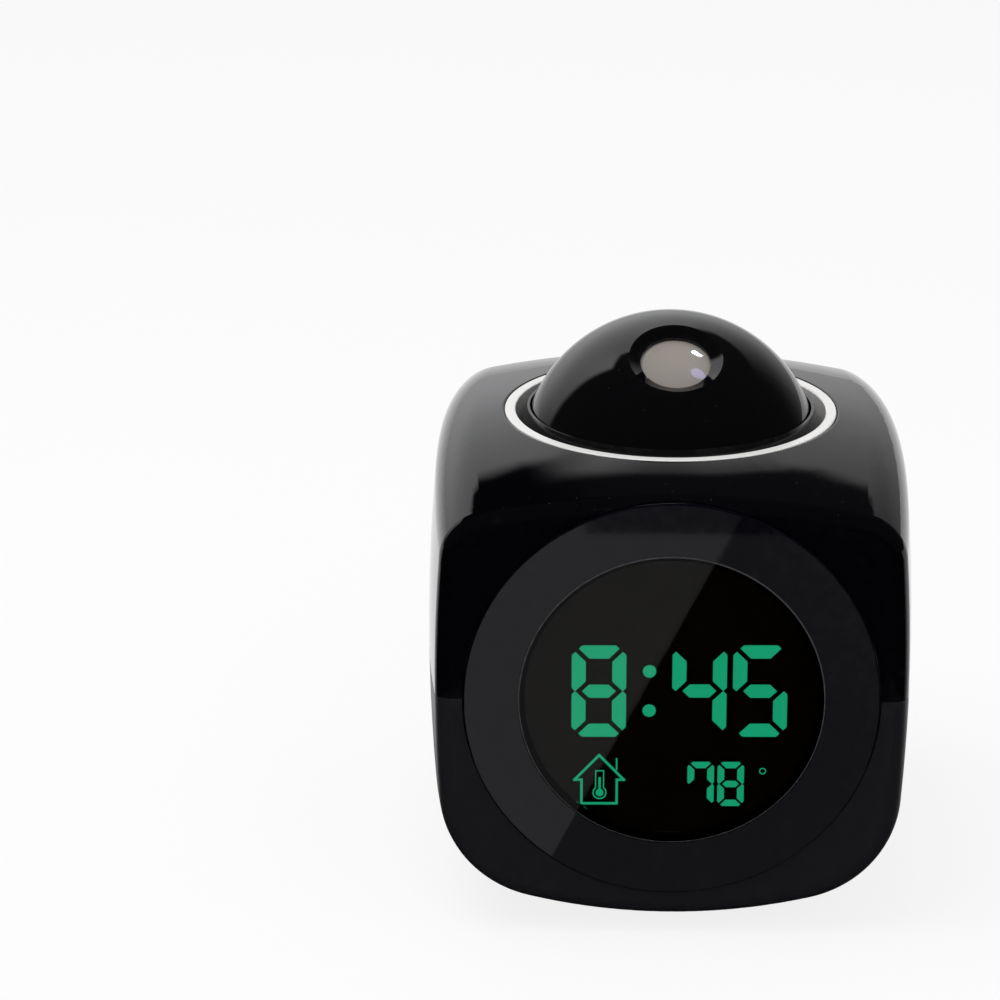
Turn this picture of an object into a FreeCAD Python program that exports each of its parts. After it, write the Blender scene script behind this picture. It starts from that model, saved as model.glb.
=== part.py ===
import FreeCAD, Part
import math
import os

from FreeCAD import Vector

# Projection alarm clock: a pillow-shaped case in two halves with a round display in front,
# and a ball projector in a press-down socket on top.
# Millimetres. X is to the right, the display faces -Y, Z is up.
# The origin is on the table, under the middle of the clock.

# Case
body_width = 85.0
body_depth = 85.2
body_height = 83.6
foot_height = 0.8
wall = 2.0
top_fall_side = 5.6
top_fall_end = 5.2
bottom_rise_side = 9.3
bottom_rise_end = 2.6
side_fall_height = 2.9
side_fall_end = 2.4
widest_above_bottom = 45.0
top_corner_radius = 9.0
bottom_corner_radius = 20.0
end_round = 2.8
seam_lip_height = 1.8
seam_lip_depth = 3.0
seam_lip_wall = 1.1
seam_lip_gap = 0.1

# Display
display_above_bottom = 42.6
bezel_radius = 35.5
bezel_thickness = 2.2
bezel_proud = 0.4
bezel_gap = 0.12
bezel_edge_round = 0.3
window_radius = 26.2
window_thickness = 1.5
window_gap = 0.06
window_edge = 0.25
window_ledge = 1.2
seat_overlap = 2.4
seat_root = 1.6
seat_thickness = 1.0
lcd_margin = 0.2
lcd_thickness = 2.0
lcd_gap = 0.1
frame_corner_wall = 1.2
frame_depth = 5.6
guide_thickness = 3.0
diffuser_thickness = 0.4
strip_thickness = 2.0
strip_gap = 0.7
strip_end_gap = 3.2
board_side_margin = 6.3
board_end_margin = 1.8
board_thickness = 1.6

# Parts on the main board
chip_below_centre = 8.0
chip_drop_radius = 6.0
chip_drop_sink = 4.2
low_row_below_centre = 18.0
quartz_x = 12.0
quartz_radius = 1.0
quartz_length = 6.0
capacitor_places = (-20.0, -12.0)
capacitor_radius = 2.0
capacitor_height = 2.8
cable_socket_x = 18.0
cable_socket_above_centre = 8.0
cable_socket_width = 8.0
cable_socket_height = 4.0

# Projector head
ring_radius = 29.2
ring_flat_width = 1.9
ring_below_crown = 2.55
ring_flange = 1.3
ring_skirt_depth = 3.5
ring_skirt_wall = 0.9
ring_gap = 0.1
ring_edge_round = 0.25
well_edge_round = 0.4
well_collar_wall = 2.4
well_collar_depth = 4.0
ball_radius = 26.4
ball_below_ring = 9.4
ball_wall = 1.8
ball_reach_deg = 118.0
ball_gap = 0.3
socket_rim_above_ring = 0.5
socket_lip = 0.45
socket_wall = 1.3
socket_bottom_drop = 6.5
socket_flange_radius = 30.2
socket_flange_thickness = 2.0
socket_stop_gap = 0.3
socket_skirt_gap = 0.4
pin_radius = 1.5
pin_gap = 0.04
pin_boss_radius = 3.0
pin_boss_depth = 2.0
pin_end_gap = 0.1
head_tilt_deg = 27.8
head_turn_deg = 3.0
lens_radius = 6.1
recess_radius = 8.15
recess_depth = 1.2
lens_edge_thickness = 1.6
lens_crown = 1.1
lens_lip = 0.5
lens_lip_height = 0.6
lens_gap = 0.05
sleeve_wall = 1.0
sleeve_depth = 2.6
barrel_length = 20.0
lens_ring_wall = 1.3
lens_ring_height = 2.0
film_size = 8.0
film_thickness = 1.1
film_holder_thickness = 1.6
film_below_lens = 12.0
led_board_thickness = 1.2
led_radius = 2.5
led_height = 5.0
press_travel = 1.5

# Head bracket, springs and switch under the socket
bracket_below_ball = 13.4
bracket_thickness = 2.0
bracket_hole_radius = 25.0
bracket_radius = 33.0
bracket_board_gap = 2.0
bracket_ear_radius = 3.6
post_radius = 2.6
post_ring_radius = 33.2
post_angles = (0.0, 45.0, 135.0, 180.0)
spring_radius = 1.7
spring_wire = 0.45
spring_circle = 28.4
spring_angles = (90.0, 210.0, 330.0)
switch_angle = 30.0
switch_size = 4.5
switch_height = 1.6
switch_stem_radius = 1.0
switch_stem_gap = 0.05
switch_board_length = 9.0
switch_board_width = 6.0
switch_board_thickness = 0.8

# Case screws
screw_from_side = 11.5
screw_from_end = 15.6
boss_radius = 3.2
boss_top_above_bottom = 21.2
boss_head_floor_below_top = 8.0
case_screw_radius = 1.2
case_screw_length = 16.0
small_screw_radius = 0.9
screw_head_share = 1.9
screw_head_height = 1.3
screw_clearance = 0.2
slot_width = 0.5
slot_depth = 0.6
frame_screw_from_seat = 1.4
frame_screw_deg = 12.0
board_screw_from_lcd = 2.4
board_screw_from_end = 6.0
board_screw_length = 5.0
bracket_screw_length = 7.0

# Rear buttons
button_count = 4
button_pitch = 13.5
button_below_crown = 14.4
button_width = 8.0
button_height = 4.2
button_proud = 0.4
button_round = 0.35
button_gap = 0.2
panel_depth = 0.8
panel_margin = 3.0
button_flange = 0.9
button_flange_thickness = 0.8
button_flange_gap = 0.3
button_stem = 2.2
button_stem_length = 1.0
button_travel = 0.7
pad_thickness = 0.8
pad_dome_height = 0.95
pad_press_gap = 0.05
pad_dome_radius = 1.8
pad_dome_tip_radius = 1.25
pad_height = 7.6
button_board_thickness = 1.2
button_board_height = 8.6
button_board_width = 64.0
button_post_x = 29.2
button_post_radius = 2.0
button_screw_length = 4.5

# Speaker
speaker_below_buttons = 14.4
speaker_radius = 10.0
speaker_basket_depth = 3.4
speaker_basket_wall = 0.8
speaker_gap = 0.15
speaker_collar_wall = 1.0
speaker_collar_depth = 3.0
cone_thickness = 0.4
cone_hub_radius = 3.0
cone_depth = 1.8
magnet_radius = 5.5
magnet_depth = 2.4
grille_hole_radius = 0.9
grille_ring_pitch = 3.5
grille_rings = 2

# Batteries and their door
cell_radius = 5.15
cell_length = 43.3
cell_edge_round = 0.6
cell_nub_radius = 1.9
cell_nub_length = 0.8
cell_count = 3
cell_gap = 0.15
tray_above_bottom = 8.1
tray_wall = 1.2
door_thickness = 1.8
door_gap = 0.25
door_hinge_radius = 1.3
door_ledge = 1.0
door_sweep_gap = 0.2
hinge_pin_radius = 0.6
hinge_pin_length = 0.9
hinge_pin_gap = 0.06
grip_rib_count = 4
grip_rib_pitch = 1.6
grip_rib_length = 12.0
grip_rib_radius = 0.35
notch_radius = 5.0
notch_depth = 0.9
contact_thickness = 0.4
contact_width = 7.0
contact_spring_base = 2.6
contact_spring_tip = 1.6
contact_spring_length = 5.4
contact_gap = 0.05
contact_height = 8.0

# Feet
foot_x = 13.5
foot_y = 22.0
foot_radius = 4.0
foot_sink = 0.8
foot_edge = 0.5

# Places worked out from the sizes
half_width = body_width / 2
half_depth = body_depth / 2
front_y = -half_depth
rear_y = half_depth
bottom_z = foot_height
crown_z = foot_height + body_height
widest_z = foot_height + widest_above_bottom
display_z = foot_height + display_above_bottom
seam_z = display_z
inner_rear_y = rear_y - wall
bezel_front_y = front_y - bezel_proud
bezel_back_y = bezel_front_y + bezel_thickness
seat_back_y = bezel_back_y + seat_thickness
lcd_front_y = seat_back_y + lcd_gap
lcd_back_y = lcd_front_y + lcd_thickness
frame_back_y = seat_back_y + frame_depth
board_back_y = frame_back_y + board_thickness
seat_radius = bezel_radius - seat_overlap
seat_reach = bezel_radius + seat_root
lcd_size = 2 * (window_radius - window_ledge + lcd_margin)
frame_radius = (lcd_size / 2 + lcd_gap) * math.sqrt(2) + frame_corner_wall
frame_screw_ring = seat_radius + frame_screw_from_seat
guide_height = lcd_size - 2 * (strip_thickness + strip_gap)
strip_length = lcd_size - 2 * strip_end_gap
board_width = lcd_size + 2 * board_side_margin
board_height = lcd_size + 2 * board_end_margin
board_screw_x = lcd_size / 2 + board_screw_from_lcd
board_screw_rise = board_height / 2 - board_screw_from_end
ring_z = crown_z - ring_below_crown
ball_z = ring_z - ball_below_ring
flange_bottom_z = ring_z - ring_flange
skirt_bottom_z = flange_bottom_z - ring_skirt_depth
skirt_inner_radius = ring_radius - ring_flat_width
skirt_outer_radius = skirt_inner_radius + ring_skirt_wall
hole_radius = skirt_outer_radius + ring_gap
socket_rim_z = ring_z + socket_rim_above_ring
socket_inner_radius = ball_radius + ball_gap
socket_outer_radius = socket_inner_radius + socket_wall
socket_bottom_z = ball_z - socket_bottom_drop
bracket_bottom_z = ball_z - bracket_below_ball
bracket_top_z = bracket_bottom_z + bracket_thickness
bracket_front_y = board_back_y + bracket_board_gap
screw_x = half_width - screw_from_side
screw_y = half_depth - screw_from_end
boss_top_z = bottom_z + boss_top_above_bottom
head_floor_z = boss_top_z - boss_head_floor_below_top
button_z = crown_z - button_below_crown
speaker_z = button_z - speaker_below_buttons
button_flange_back_y = inner_rear_y - button_flange_gap - button_flange_thickness
button_stem_y = button_flange_back_y - button_stem_length
pad_front_y = button_stem_y - button_travel - pad_press_gap
pad_back_y = pad_front_y - pad_dome_height - pad_thickness
button_board_y = pad_back_y - button_board_thickness
cell_pitch = 2 * cell_radius + cell_gap
contact_span = cell_length + cell_nub_length + contact_spring_length + 2 * contact_gap
tray_half_width = contact_span / 2 + contact_thickness
tray_bottom_z = foot_height + tray_above_bottom
tray_top_z = tray_bottom_z + cell_count * cell_pitch + cell_gap
door_back_y = rear_y - door_thickness
tray_floor_y = door_back_y - 2 * cell_radius - 2 * cell_gap
door_half_width = tray_half_width + door_ledge
door_bottom_z = tray_bottom_z - door_ledge
door_top_z = tray_top_z + door_ledge
hinge_y = rear_y - door_hinge_radius
hinge_z = door_bottom_z + door_hinge_radius


def box(x0, x1, y0, y1, z0, z1):
    return Part.makeBox(x1 - x0, y1 - y0, z1 - z0, Vector(x0, y0, z0))


def cylinder_z(x, y, z0, z1, radius):
    return Part.makeCylinder(radius, z1 - z0, Vector(x, y, z0), Vector(0, 0, 1))


def cylinder_y(x, z, y0, y1, radius):
    return Part.makeCylinder(radius, y1 - y0, Vector(x, y0, z), Vector(0, 1, 0))


def cylinder_x(y, z, x0, x1, radius):
    return Part.makeCylinder(radius, x1 - x0, Vector(x0, y, z), Vector(1, 0, 0))


def ring_y(z, y0, y1, outer_radius, inner_radius):
    return cylinder_y(0, z, y0, y1, outer_radius).cut(cylinder_y(0, z, y0 - 1, y1 + 1, inner_radius))


def ring_z_axis(z0, z1, outer_radius, inner_radius):
    return cylinder_z(0, 0, z0, z1, outer_radius).cut(cylinder_z(0, 0, z0 - 1, z1 + 1, inner_radius))


def rounded_block_y(x, z, y0, y1, width, height, radius):
    """A block with rounded corners as seen along Y, centred on x and z."""
    block = box(x - width / 2, x + width / 2, y0, y1, z - height / 2, z + height / 2)
    corners = [e for e in block.Edges if abs(e.tangentAt(e.FirstParameter).y) > 0.9]
    return block.makeFillet(radius, corners)


def polar(radius, angle_deg):
    angle = math.radians(angle_deg)
    return radius * math.cos(angle), radius * math.sin(angle)


def fuse_all(shapes):
    whole = shapes[0]
    for shape in shapes[1:]:
        whole = whole.fuse(shape)
    return whole.removeSplitter()


def cut_all(shape, tools):
    for tool in tools:
        shape = shape.cut(tool)
    return shape


def revolve(edges, axis_from=Vector(0, 0, 0), axis=Vector(0, 0, 1)):
    face = Part.Face(Part.Wire(edges))
    return face.revolve(axis_from, axis, 360)


def line(p, q):
    return Part.LineSegment(Vector(p[0], 0, p[1]), Vector(q[0], 0, q[1])).toShape()


def chain(points, close=True):
    """Straight edges through points in the plane of X and Z."""
    ends = points[1:] + points[:1] if close else points[1:]
    return [line(p, q) for p, q in zip(points, ends)]


def fall_radius(half_chord, fall):
    return (half_chord**2 + fall**2) / (2 * fall)


def towards(start, target, distance):
    dx, dz = target[0] - start[0], target[1] - start[1]
    length = math.hypot(dx, dz)
    return start[0] + dx / length * distance, start[1] + dz / length * distance


def corner_centre(face_centre, face_reach, side_centre, side_reach, up):
    """Centre of the corner arc that runs into a crowned face and into the right side."""
    gap = math.dist(face_centre, side_centre)
    along = (gap**2 + face_reach**2 - side_reach**2) / (2 * gap)
    off = math.sqrt(face_reach**2 - along**2)
    foot = towards(face_centre, side_centre, along)
    ux, uz = (side_centre[0] - face_centre[0]) / gap, (side_centre[1] - face_centre[1]) / gap
    found = [(foot[0] - s * off * uz, foot[1] + s * off * ux) for s in (-1, 1)]
    return max((c for c in found if c[0] > 0), key=lambda c: c[1] * up)


def arc_edge(centre, radius, start, end, y):
    """The shorter arc about centre from start to end, at depth y."""
    middle = ((start[0] + end[0]) / 2, (start[1] + end[1]) / 2)
    points = [Vector(p[0], y, p[1]) for p in (start, towards(centre, middle, radius), end)]
    return Part.Arc(*points).toShape()


def case_outline(y, inset):
    """The outline across the case at depth y: four crowned sides and four round corners."""
    share = (y / half_depth) ** 2
    top_r = fall_radius(half_width, top_fall_side)
    bottom_r = fall_radius(half_width, bottom_rise_side)
    side_r = fall_radius(body_height / 2, side_fall_height)
    top_c = (0.0, crown_z - top_fall_end * share - top_r)
    bottom_c = (0.0, bottom_z + bottom_rise_end * share + bottom_r)
    side_c = (half_width - side_fall_end * share - side_r, widest_z)
    top_corner = corner_centre(top_c, top_r - top_corner_radius, side_c, side_r - top_corner_radius, 1)
    low_corner = corner_centre(
        bottom_c, bottom_r - bottom_corner_radius, side_c, side_r - bottom_corner_radius, -1
    )
    joins = [
        towards(bottom_c, low_corner, bottom_r - inset),
        towards(side_c, low_corner, side_r - inset),
        towards(side_c, top_corner, side_r - inset),
        towards(top_c, top_corner, top_r - inset),
    ]
    arcs = [
        (low_corner, bottom_corner_radius - inset, joins[0], joins[1]),
        (side_c, side_r - inset, joins[1], joins[2]),
        (top_corner, top_corner_radius - inset, joins[2], joins[3]),
    ]
    mirrored = [((-c[0], c[1]), r, (-q[0], q[1]), (-p[0], p[1])) for c, r, p, q in reversed(arcs)]
    top_arc = (top_c, top_r - inset, joins[3], (-joins[3][0], joins[3][1]))
    bottom_arc = (bottom_c, bottom_r - inset, (-joins[0][0], joins[0][1]), joins[0])
    loop = [bottom_arc] + arcs + [top_arc] + mirrored
    return Part.Wire([arc_edge(*arc, y) for arc in loop])


def pillow(inset):
    """The whole outer form of the case, set in by inset, with rounded front and rear edges."""
    reach = half_depth - inset
    stations = [-reach, -reach / 2, 0.0, reach / 2, reach]
    solid = Part.makeLoft([case_outline(y, inset) for y in stations], True, False)
    edge_round = end_round - inset
    if edge_round > end_round / 2:
        ends = [e for e in solid.Edges if abs(abs(e.CenterOfMass.y) - reach) < reach / 1000]
        solid = solid.makeFillet(edge_round, ends)
    return solid


def bottom_height(x, y):
    """Height of the case's underside above the table."""
    rise = fall_radius(half_width, bottom_rise_side)
    across = rise - math.sqrt(rise**2 - x**2)
    return bottom_z + bottom_rise_end * (y / half_depth) ** 2 + across


def screw(radius, length, head_at, direction):
    """A pan head screw whose head seats at head_at and whose shank runs along direction."""
    head_radius = radius * screw_head_share
    back = head_at - direction * screw_head_height
    head = Part.makeCylinder(head_radius, screw_head_height, back, direction)
    shank = Part.makeCylinder(radius, length, head_at, direction)
    side = Vector(1, 0, 0)
    other = direction.cross(side)
    slots = []
    for a, b in ((side, other), (other, side)):
        corner = back - a * head_radius - b * slot_width / 2
        edges = [corner, corner + a * 2 * head_radius, corner + a * 2 * head_radius + b * slot_width]
        edges.append(corner + b * slot_width)
        floor = Part.Face(Part.makePolygon(edges + [corner]))
        slots.append(floor.extrude(direction * slot_depth))
    return cut_all(head.fuse(shank), slots)


outer_form = pillow(0.0)
skin_form = pillow(wall / 4)
cavity_form = pillow(wall)
lip_form = pillow(wall + seam_lip_wall)
inner_form = pillow(wall + seam_lip_wall + screw_clearance)
far = 2 * body_depth


def slab(z0, z1):
    return box(-far, far, -far, far, z0, z1)


def case_screw_places():
    return [(sx * screw_x, sy * screw_y) for sx in (-1, 1) for sy in (-1, 1)]


def frame_screw_places():
    places = []
    for angle in (frame_screw_deg, 180 - frame_screw_deg, 180 + frame_screw_deg, -frame_screw_deg):
        x, up = polar(frame_screw_ring, angle)
        places.append((x, display_z + up))
    return places


def front_opening():
    """The hole that the bezel sits in, and the narrower one behind it that the display fills."""
    hole = cylinder_y(0, display_z, front_y - 1, bezel_back_y, bezel_radius + bezel_gap)
    return hole.fuse(cylinder_y(0, display_z, front_y - 1, seat_back_y + 1, seat_radius))


def front_seat():
    """The ledge behind the front wall that the bezel is glued to."""
    seat = ring_y(display_z, bezel_back_y, seat_back_y, seat_reach, seat_radius).common(skin_form)
    for x, z in frame_screw_places():
        seat = seat.cut(cylinder_y(x, z, bezel_back_y - 1, seat_back_y + 1, small_screw_radius))
    return seat


def button_places():
    return [(i - (button_count - 1) / 2) * button_pitch for i in range(button_count)]


def make_upper_shell():
    wall_part = outer_form.cut(cavity_form).common(slab(seam_z, far))
    collar_top = flange_bottom_z
    collar = ring_z_axis(
        collar_top - well_collar_depth, collar_top, hole_radius + well_collar_wall, hole_radius
    ).common(skin_form)
    cuts = [
        cylinder_z(0, 0, ball_z, far, hole_radius),
        cylinder_z(0, 0, flange_bottom_z, far, ring_radius + ring_gap),
        front_opening(),
    ]
    shell = cut_all(wall_part, cuts)
    rim = [
        e
        for e in shell.Edges
        if e.BoundBox.ZMin > flange_bottom_z + 0.2
        and abs(math.hypot(e.Vertexes[0].X, e.Vertexes[0].Y) - ring_radius - ring_gap) < 0.01
    ]
    shell = shell.makeFillet(well_edge_round, rim)
    extras = [collar, front_seat().common(slab(seam_z, far))]
    for x, y in case_screw_places():
        extras.append(cylinder_z(x, y, boss_top_z, crown_z, boss_radius).common(skin_form))
    for angle in post_angles:
        x, y = polar(post_ring_radius, angle)
        extras.append(cylinder_z(x, y, bracket_top_z, crown_z, post_radius).common(skin_form))
    for side in (-1, 1):
        x = side * button_post_x
        extras.append(cylinder_y(x, button_z, pad_back_y, inner_rear_y, button_post_radius))
    collar_inside = speaker_radius + speaker_gap
    collar_back_y = inner_rear_y - speaker_collar_depth
    extras.append(cylinder_y(0, speaker_z, collar_back_y, inner_rear_y, collar_inside + speaker_collar_wall))
    shell = fuse_all([shell] + extras)
    holes = [
        cylinder_y(0, speaker_z, collar_back_y - 1, inner_rear_y, collar_inside),
        cylinder_z(0, 0, ball_z, far, hole_radius),
    ]
    for x, y in case_screw_places():
        holes.append(cylinder_z(x, y, boss_top_z - 1, boss_top_z + case_screw_length, case_screw_radius))
    for angle in post_angles:
        x, y = polar(post_ring_radius, angle)
        hole_top = bracket_top_z + bracket_screw_length
        holes.append(cylinder_z(x, y, bracket_top_z - 1, hole_top, small_screw_radius))
    for side in (-1, 1):
        x = side * button_post_x
        holes.append(cylinder_y(x, button_z, button_board_y, inner_rear_y - 1, small_screw_radius))
    panel_width = (button_count - 1) * button_pitch + button_width + 2 * panel_margin
    panel_height = button_height + 2 * panel_margin
    panel_round = panel_height / 2.1
    panel = rounded_block_y(
        0, button_z, rear_y - panel_depth, rear_y + 1, panel_width, panel_height, panel_round
    )
    holes.append(panel)
    for x in button_places():
        holes.append(pill(x, button_z, inner_rear_y - 1, rear_y, button_gap))
    for x, z in grille_places():
        holes.append(cylinder_y(x, z, inner_rear_y - 1, rear_y + 1, grille_hole_radius))
    return cut_all(shell, holes)


def pill(x, z, y0, y1, grow):
    """The outline of a button, larger by grow all round."""
    width = button_width + 2 * grow
    height = button_height + 2 * grow
    return rounded_block_y(x, z, y0, y1, width, height, height / 2.05)


def grille_places():
    places = [(0.0, speaker_z)]
    for ring in range(1, grille_rings + 1):
        for i in range(6 * ring):
            x, up = polar(ring * grille_ring_pitch, i * 60 / ring)
            places.append((x, speaker_z + up))
    return places


def make_lower_shell():
    wall_part = outer_form.cut(cavity_form).common(slab(-1, seam_z))
    lip_root = outer_form.cut(lip_form)
    lip = lip_root.common(slab(seam_z - seam_lip_depth, seam_z))
    tongue = pillow(wall + seam_lip_gap).cut(lip_form)
    lip = lip.fuse(tongue.common(slab(seam_z - seam_lip_depth, seam_z + seam_lip_height)))
    away = [
        box(-door_half_width, door_half_width, 0, far, seam_z - seam_lip_depth - 1, far),
        box(-far, far, -far, frame_back_y + 1, seam_z - seam_lip_depth - 1, far),
    ]
    lip = cut_all(lip, away)
    tray = box(
        -tray_half_width - tray_wall,
        tray_half_width + tray_wall,
        tray_floor_y - tray_wall,
        inner_rear_y,
        tray_bottom_z - tray_wall,
        tray_top_z + tray_wall,
    ).common(skin_form)
    extras = [lip, tray, front_seat().common(slab(-1, seam_z))]
    for x, y in case_screw_places():
        extras.append(cylinder_z(x, y, 0, boss_top_z, boss_radius).common(skin_form))
    shell = fuse_all([wall_part.cut(front_opening())] + extras)
    door_reach = door_half_width + door_gap
    pin_reach = door_reach + hinge_pin_length
    opening_bottom_z, opening_top_z = door_bottom_z - door_sweep_gap, door_top_z + door_gap
    holes = [
        box(-tray_half_width, tray_half_width, tray_floor_y, far, tray_bottom_z, tray_top_z),
        box(-door_reach, door_reach, door_back_y, far, opening_bottom_z, opening_top_z),
        cylinder_x(hinge_y, hinge_z, -door_reach, door_reach, door_hinge_radius + door_sweep_gap),
        cylinder_x(hinge_y, hinge_z, -pin_reach, pin_reach, hinge_pin_radius + hinge_pin_gap),
        cylinder_y(0, opening_top_z, rear_y - notch_depth, far, notch_radius),
    ]
    for x, y in case_screw_places():
        holes.append(cylinder_z(x, y, -1, boss_top_z + 1, case_screw_radius + screw_clearance))
        head_radius = case_screw_radius * screw_head_share + screw_clearance
        holes.append(cylinder_z(x, y, -1, head_floor_z, head_radius))
    for x, y in foot_places():
        holes.append(cylinder_z(x, y, -1, foot_top(x, y), foot_radius))
    return cut_all(shell, holes)


def foot_places():
    return [(sx * foot_x, sy * foot_y) for sx in (-1, 1) for sy in (-1, 1)]


def foot_top(x, y):
    return bottom_height(x, y) + foot_sink


def make_rubber_feet():
    feet = []
    for x, y in foot_places():
        foot = cylinder_z(x, y, 0, foot_top(x, y), foot_radius)
        rim = [e for e in foot.Edges if e.BoundBox.ZMax < 0.01]
        feet.append(foot.makeFillet(foot_edge, rim))
    return Part.Compound(feet)


def make_front_bezel():
    bezel = ring_y(display_z, bezel_front_y, bezel_back_y, bezel_radius, window_radius - window_ledge)
    rim = [e for e in bezel.Edges if e.BoundBox.YMax < bezel_front_y + 0.01]
    bezel = bezel.makeFillet(bezel_edge_round, [max(rim, key=lambda e: e.Length)])
    step = cylinder_y(0, display_z, bezel_front_y - 1, bezel_front_y + window_thickness, window_radius)
    return bezel.cut(step)


def make_window_lens():
    radius = window_radius - window_gap
    lens = cylinder_y(0, display_z, bezel_front_y, bezel_front_y + window_thickness, radius)
    rim = [e for e in lens.Edges if e.BoundBox.YMax < bezel_front_y + 0.01]
    return lens.makeChamfer(window_edge, rim)


def display_block(y0, y1, size, height, middle=0.0):
    z = display_z + middle
    return box(-size / 2, size / 2, y0, y1, z - height / 2, z + height / 2)


def make_lcd_panel():
    return display_block(lcd_front_y, lcd_back_y, lcd_size, lcd_size)


def make_diffuser():
    return display_block(lcd_back_y, lcd_back_y + diffuser_thickness, lcd_size, guide_height)


def make_light_guide():
    front = lcd_back_y + diffuser_thickness
    return display_block(front, front + guide_thickness, lcd_size, guide_height)


def make_zebra_strips():
    strips = []
    for side in (-1, 1):
        rise = side * (lcd_size - strip_thickness) / 2
        strips.append(display_block(lcd_back_y, frame_back_y, strip_length, strip_thickness, rise))
    return Part.Compound(strips)


def make_lcd_frame():
    disc = cylinder_y(0, display_z, seat_back_y, frame_back_y, frame_radius).common(inner_form)
    pocket = lcd_size + 2 * lcd_gap
    frame = disc.cut(display_block(seat_back_y - 1, frame_back_y + 1, pocket, pocket))
    for x, z in frame_screw_places():
        hole_radius = small_screw_radius + screw_clearance
        frame = frame.cut(cylinder_y(x, z, seat_back_y - 1, frame_back_y + 1, hole_radius))
    for x, z in board_screw_places():
        hole_front_y = frame_back_y - board_screw_length
        frame = frame.cut(cylinder_y(x, z, hole_front_y, frame_back_y + 1, small_screw_radius))
    return frame


def board_screw_places():
    heights = (display_z - board_screw_rise, display_z + board_screw_rise)
    return [(side * board_screw_x, z) for side in (-1, 1) for z in heights]


def make_main_board():
    board = display_block(frame_back_y, board_back_y, board_width, board_height)
    for x, z in board_screw_places():
        hole_radius = small_screw_radius + screw_clearance
        board = board.cut(cylinder_y(x, z, frame_back_y - 1, board_back_y + 1, hole_radius))
    return board


def make_board_parts():
    """Chip under its resin drop, quartz can, two capacitors and the cable sockets."""
    chip_place = Vector(0, board_back_y - chip_drop_sink, display_z - chip_below_centre)
    drop = Part.makeSphere(chip_drop_radius, chip_place).common(box(-far, far, board_back_y, far, 0, far))
    low_z = display_z - low_row_below_centre
    can_y = board_back_y + quartz_radius
    pieces = [drop, cylinder_x(can_y, low_z, quartz_x, quartz_x + quartz_length, quartz_radius)]
    end_y = board_back_y + capacitor_height
    for x in capacitor_places:
        pieces.append(cylinder_y(x, low_z, board_back_y, end_y, capacitor_radius))
    for side in (-1, 1):
        middle, half = side * cable_socket_x, cable_socket_width / 2
        low_z = display_z + cable_socket_above_centre - cable_socket_height / 2
        top_z = low_z + cable_socket_height
        pieces.append(box(middle - half, middle + half, board_back_y, end_y, low_z, top_z))
    return Part.Compound(pieces)


def make_frame_screws():
    screws = []
    for x, z in frame_screw_places():
        length = frame_back_y - bezel_back_y - screw_clearance
        screws.append(screw(small_screw_radius, length, Vector(x, frame_back_y, z), Vector(0, -1, 0)))
    return Part.Compound(screws)


def make_board_screws():
    screws = []
    for x, z in board_screw_places():
        length = board_thickness + board_screw_length - screw_clearance
        screws.append(screw(small_screw_radius, length, Vector(x, board_back_y, z), Vector(0, -1, 0)))
    return Part.Compound(screws)


def make_case_screws():
    screws = []
    for x, y in case_screw_places():
        seat = Vector(x, y, head_floor_z)
        screws.append(screw(case_screw_radius, case_screw_length, seat, Vector(0, 0, 1)))
    return Part.Compound(screws)


def make_bracket_screws():
    screws = []
    for angle in post_angles:
        x, y = polar(post_ring_radius, angle)
        length = bracket_thickness + bracket_screw_length - screw_clearance
        screws.append(screw(small_screw_radius, length, Vector(x, y, bracket_bottom_z), Vector(0, 0, 1)))
    return Part.Compound(screws)


def make_trim_ring():
    ring = ring_z_axis(flange_bottom_z, ring_z, ring_radius, skirt_inner_radius)
    skirt = ring_z_axis(skirt_bottom_z, flange_bottom_z, skirt_outer_radius, skirt_inner_radius)
    ring = ring.fuse(skirt).removeSplitter()
    edges = [e for e in ring.Edges if e.BoundBox.ZMin > ring_z - 0.01]
    return ring.makeFillet(ring_edge_round, edges)


def sphere_radius_at(radius, height):
    return math.sqrt(radius**2 - height**2)


def sphere_arc(radius, centre_z, start_height, end_height):
    """An arc of a sphere's outline between two heights about its centre."""
    angles = [math.asin(h / radius) for h in (start_height, end_height)]
    angles.insert(1, sum(angles) / 2)
    points = [Vector(radius * math.cos(a), 0, centre_z + radius * math.sin(a)) for a in angles]
    return Part.Arc(*points).toShape()


def make_head_socket():
    rim_height = socket_rim_z - ball_z
    rim_inner = sphere_radius_at(socket_inner_radius, rim_height)
    shoulder_z = skirt_bottom_z - socket_stop_gap
    flange_top_z = socket_bottom_z + socket_flange_thickness
    outside = [
        (rim_inner, socket_rim_z),
        (rim_inner + socket_lip, socket_rim_z),
        (skirt_inner_radius - socket_skirt_gap, shoulder_z),
        (socket_outer_radius, shoulder_z),
        (socket_outer_radius, flange_top_z),
        (socket_flange_radius, flange_top_z),
        (socket_flange_radius, socket_bottom_z),
        (socket_inner_radius, socket_bottom_z),
        (socket_inner_radius, ball_z),
    ]
    edges = chain(outside, close=False)
    edges.append(sphere_arc(socket_inner_radius, ball_z, 0.0, rim_height))
    pin_hole = cylinder_x(0, ball_z, -far, far, pin_radius + pin_gap)
    pin_hole.rotate(Vector(0, 0, 0), Vector(0, 0, 1), head_turn_deg)
    return revolve(edges).cut(pin_hole)


def turned(shape):
    """Moves a shape from the ball's own frame, lens up, to its place in the clock."""
    shape.translate(Vector(0, 0, ball_z))
    shape.rotate(Vector(0, 0, ball_z), Vector(1, 0, 0), head_tilt_deg)
    shape.rotate(Vector(0, 0, 0), Vector(0, 0, 1), head_turn_deg)
    return shape


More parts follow.
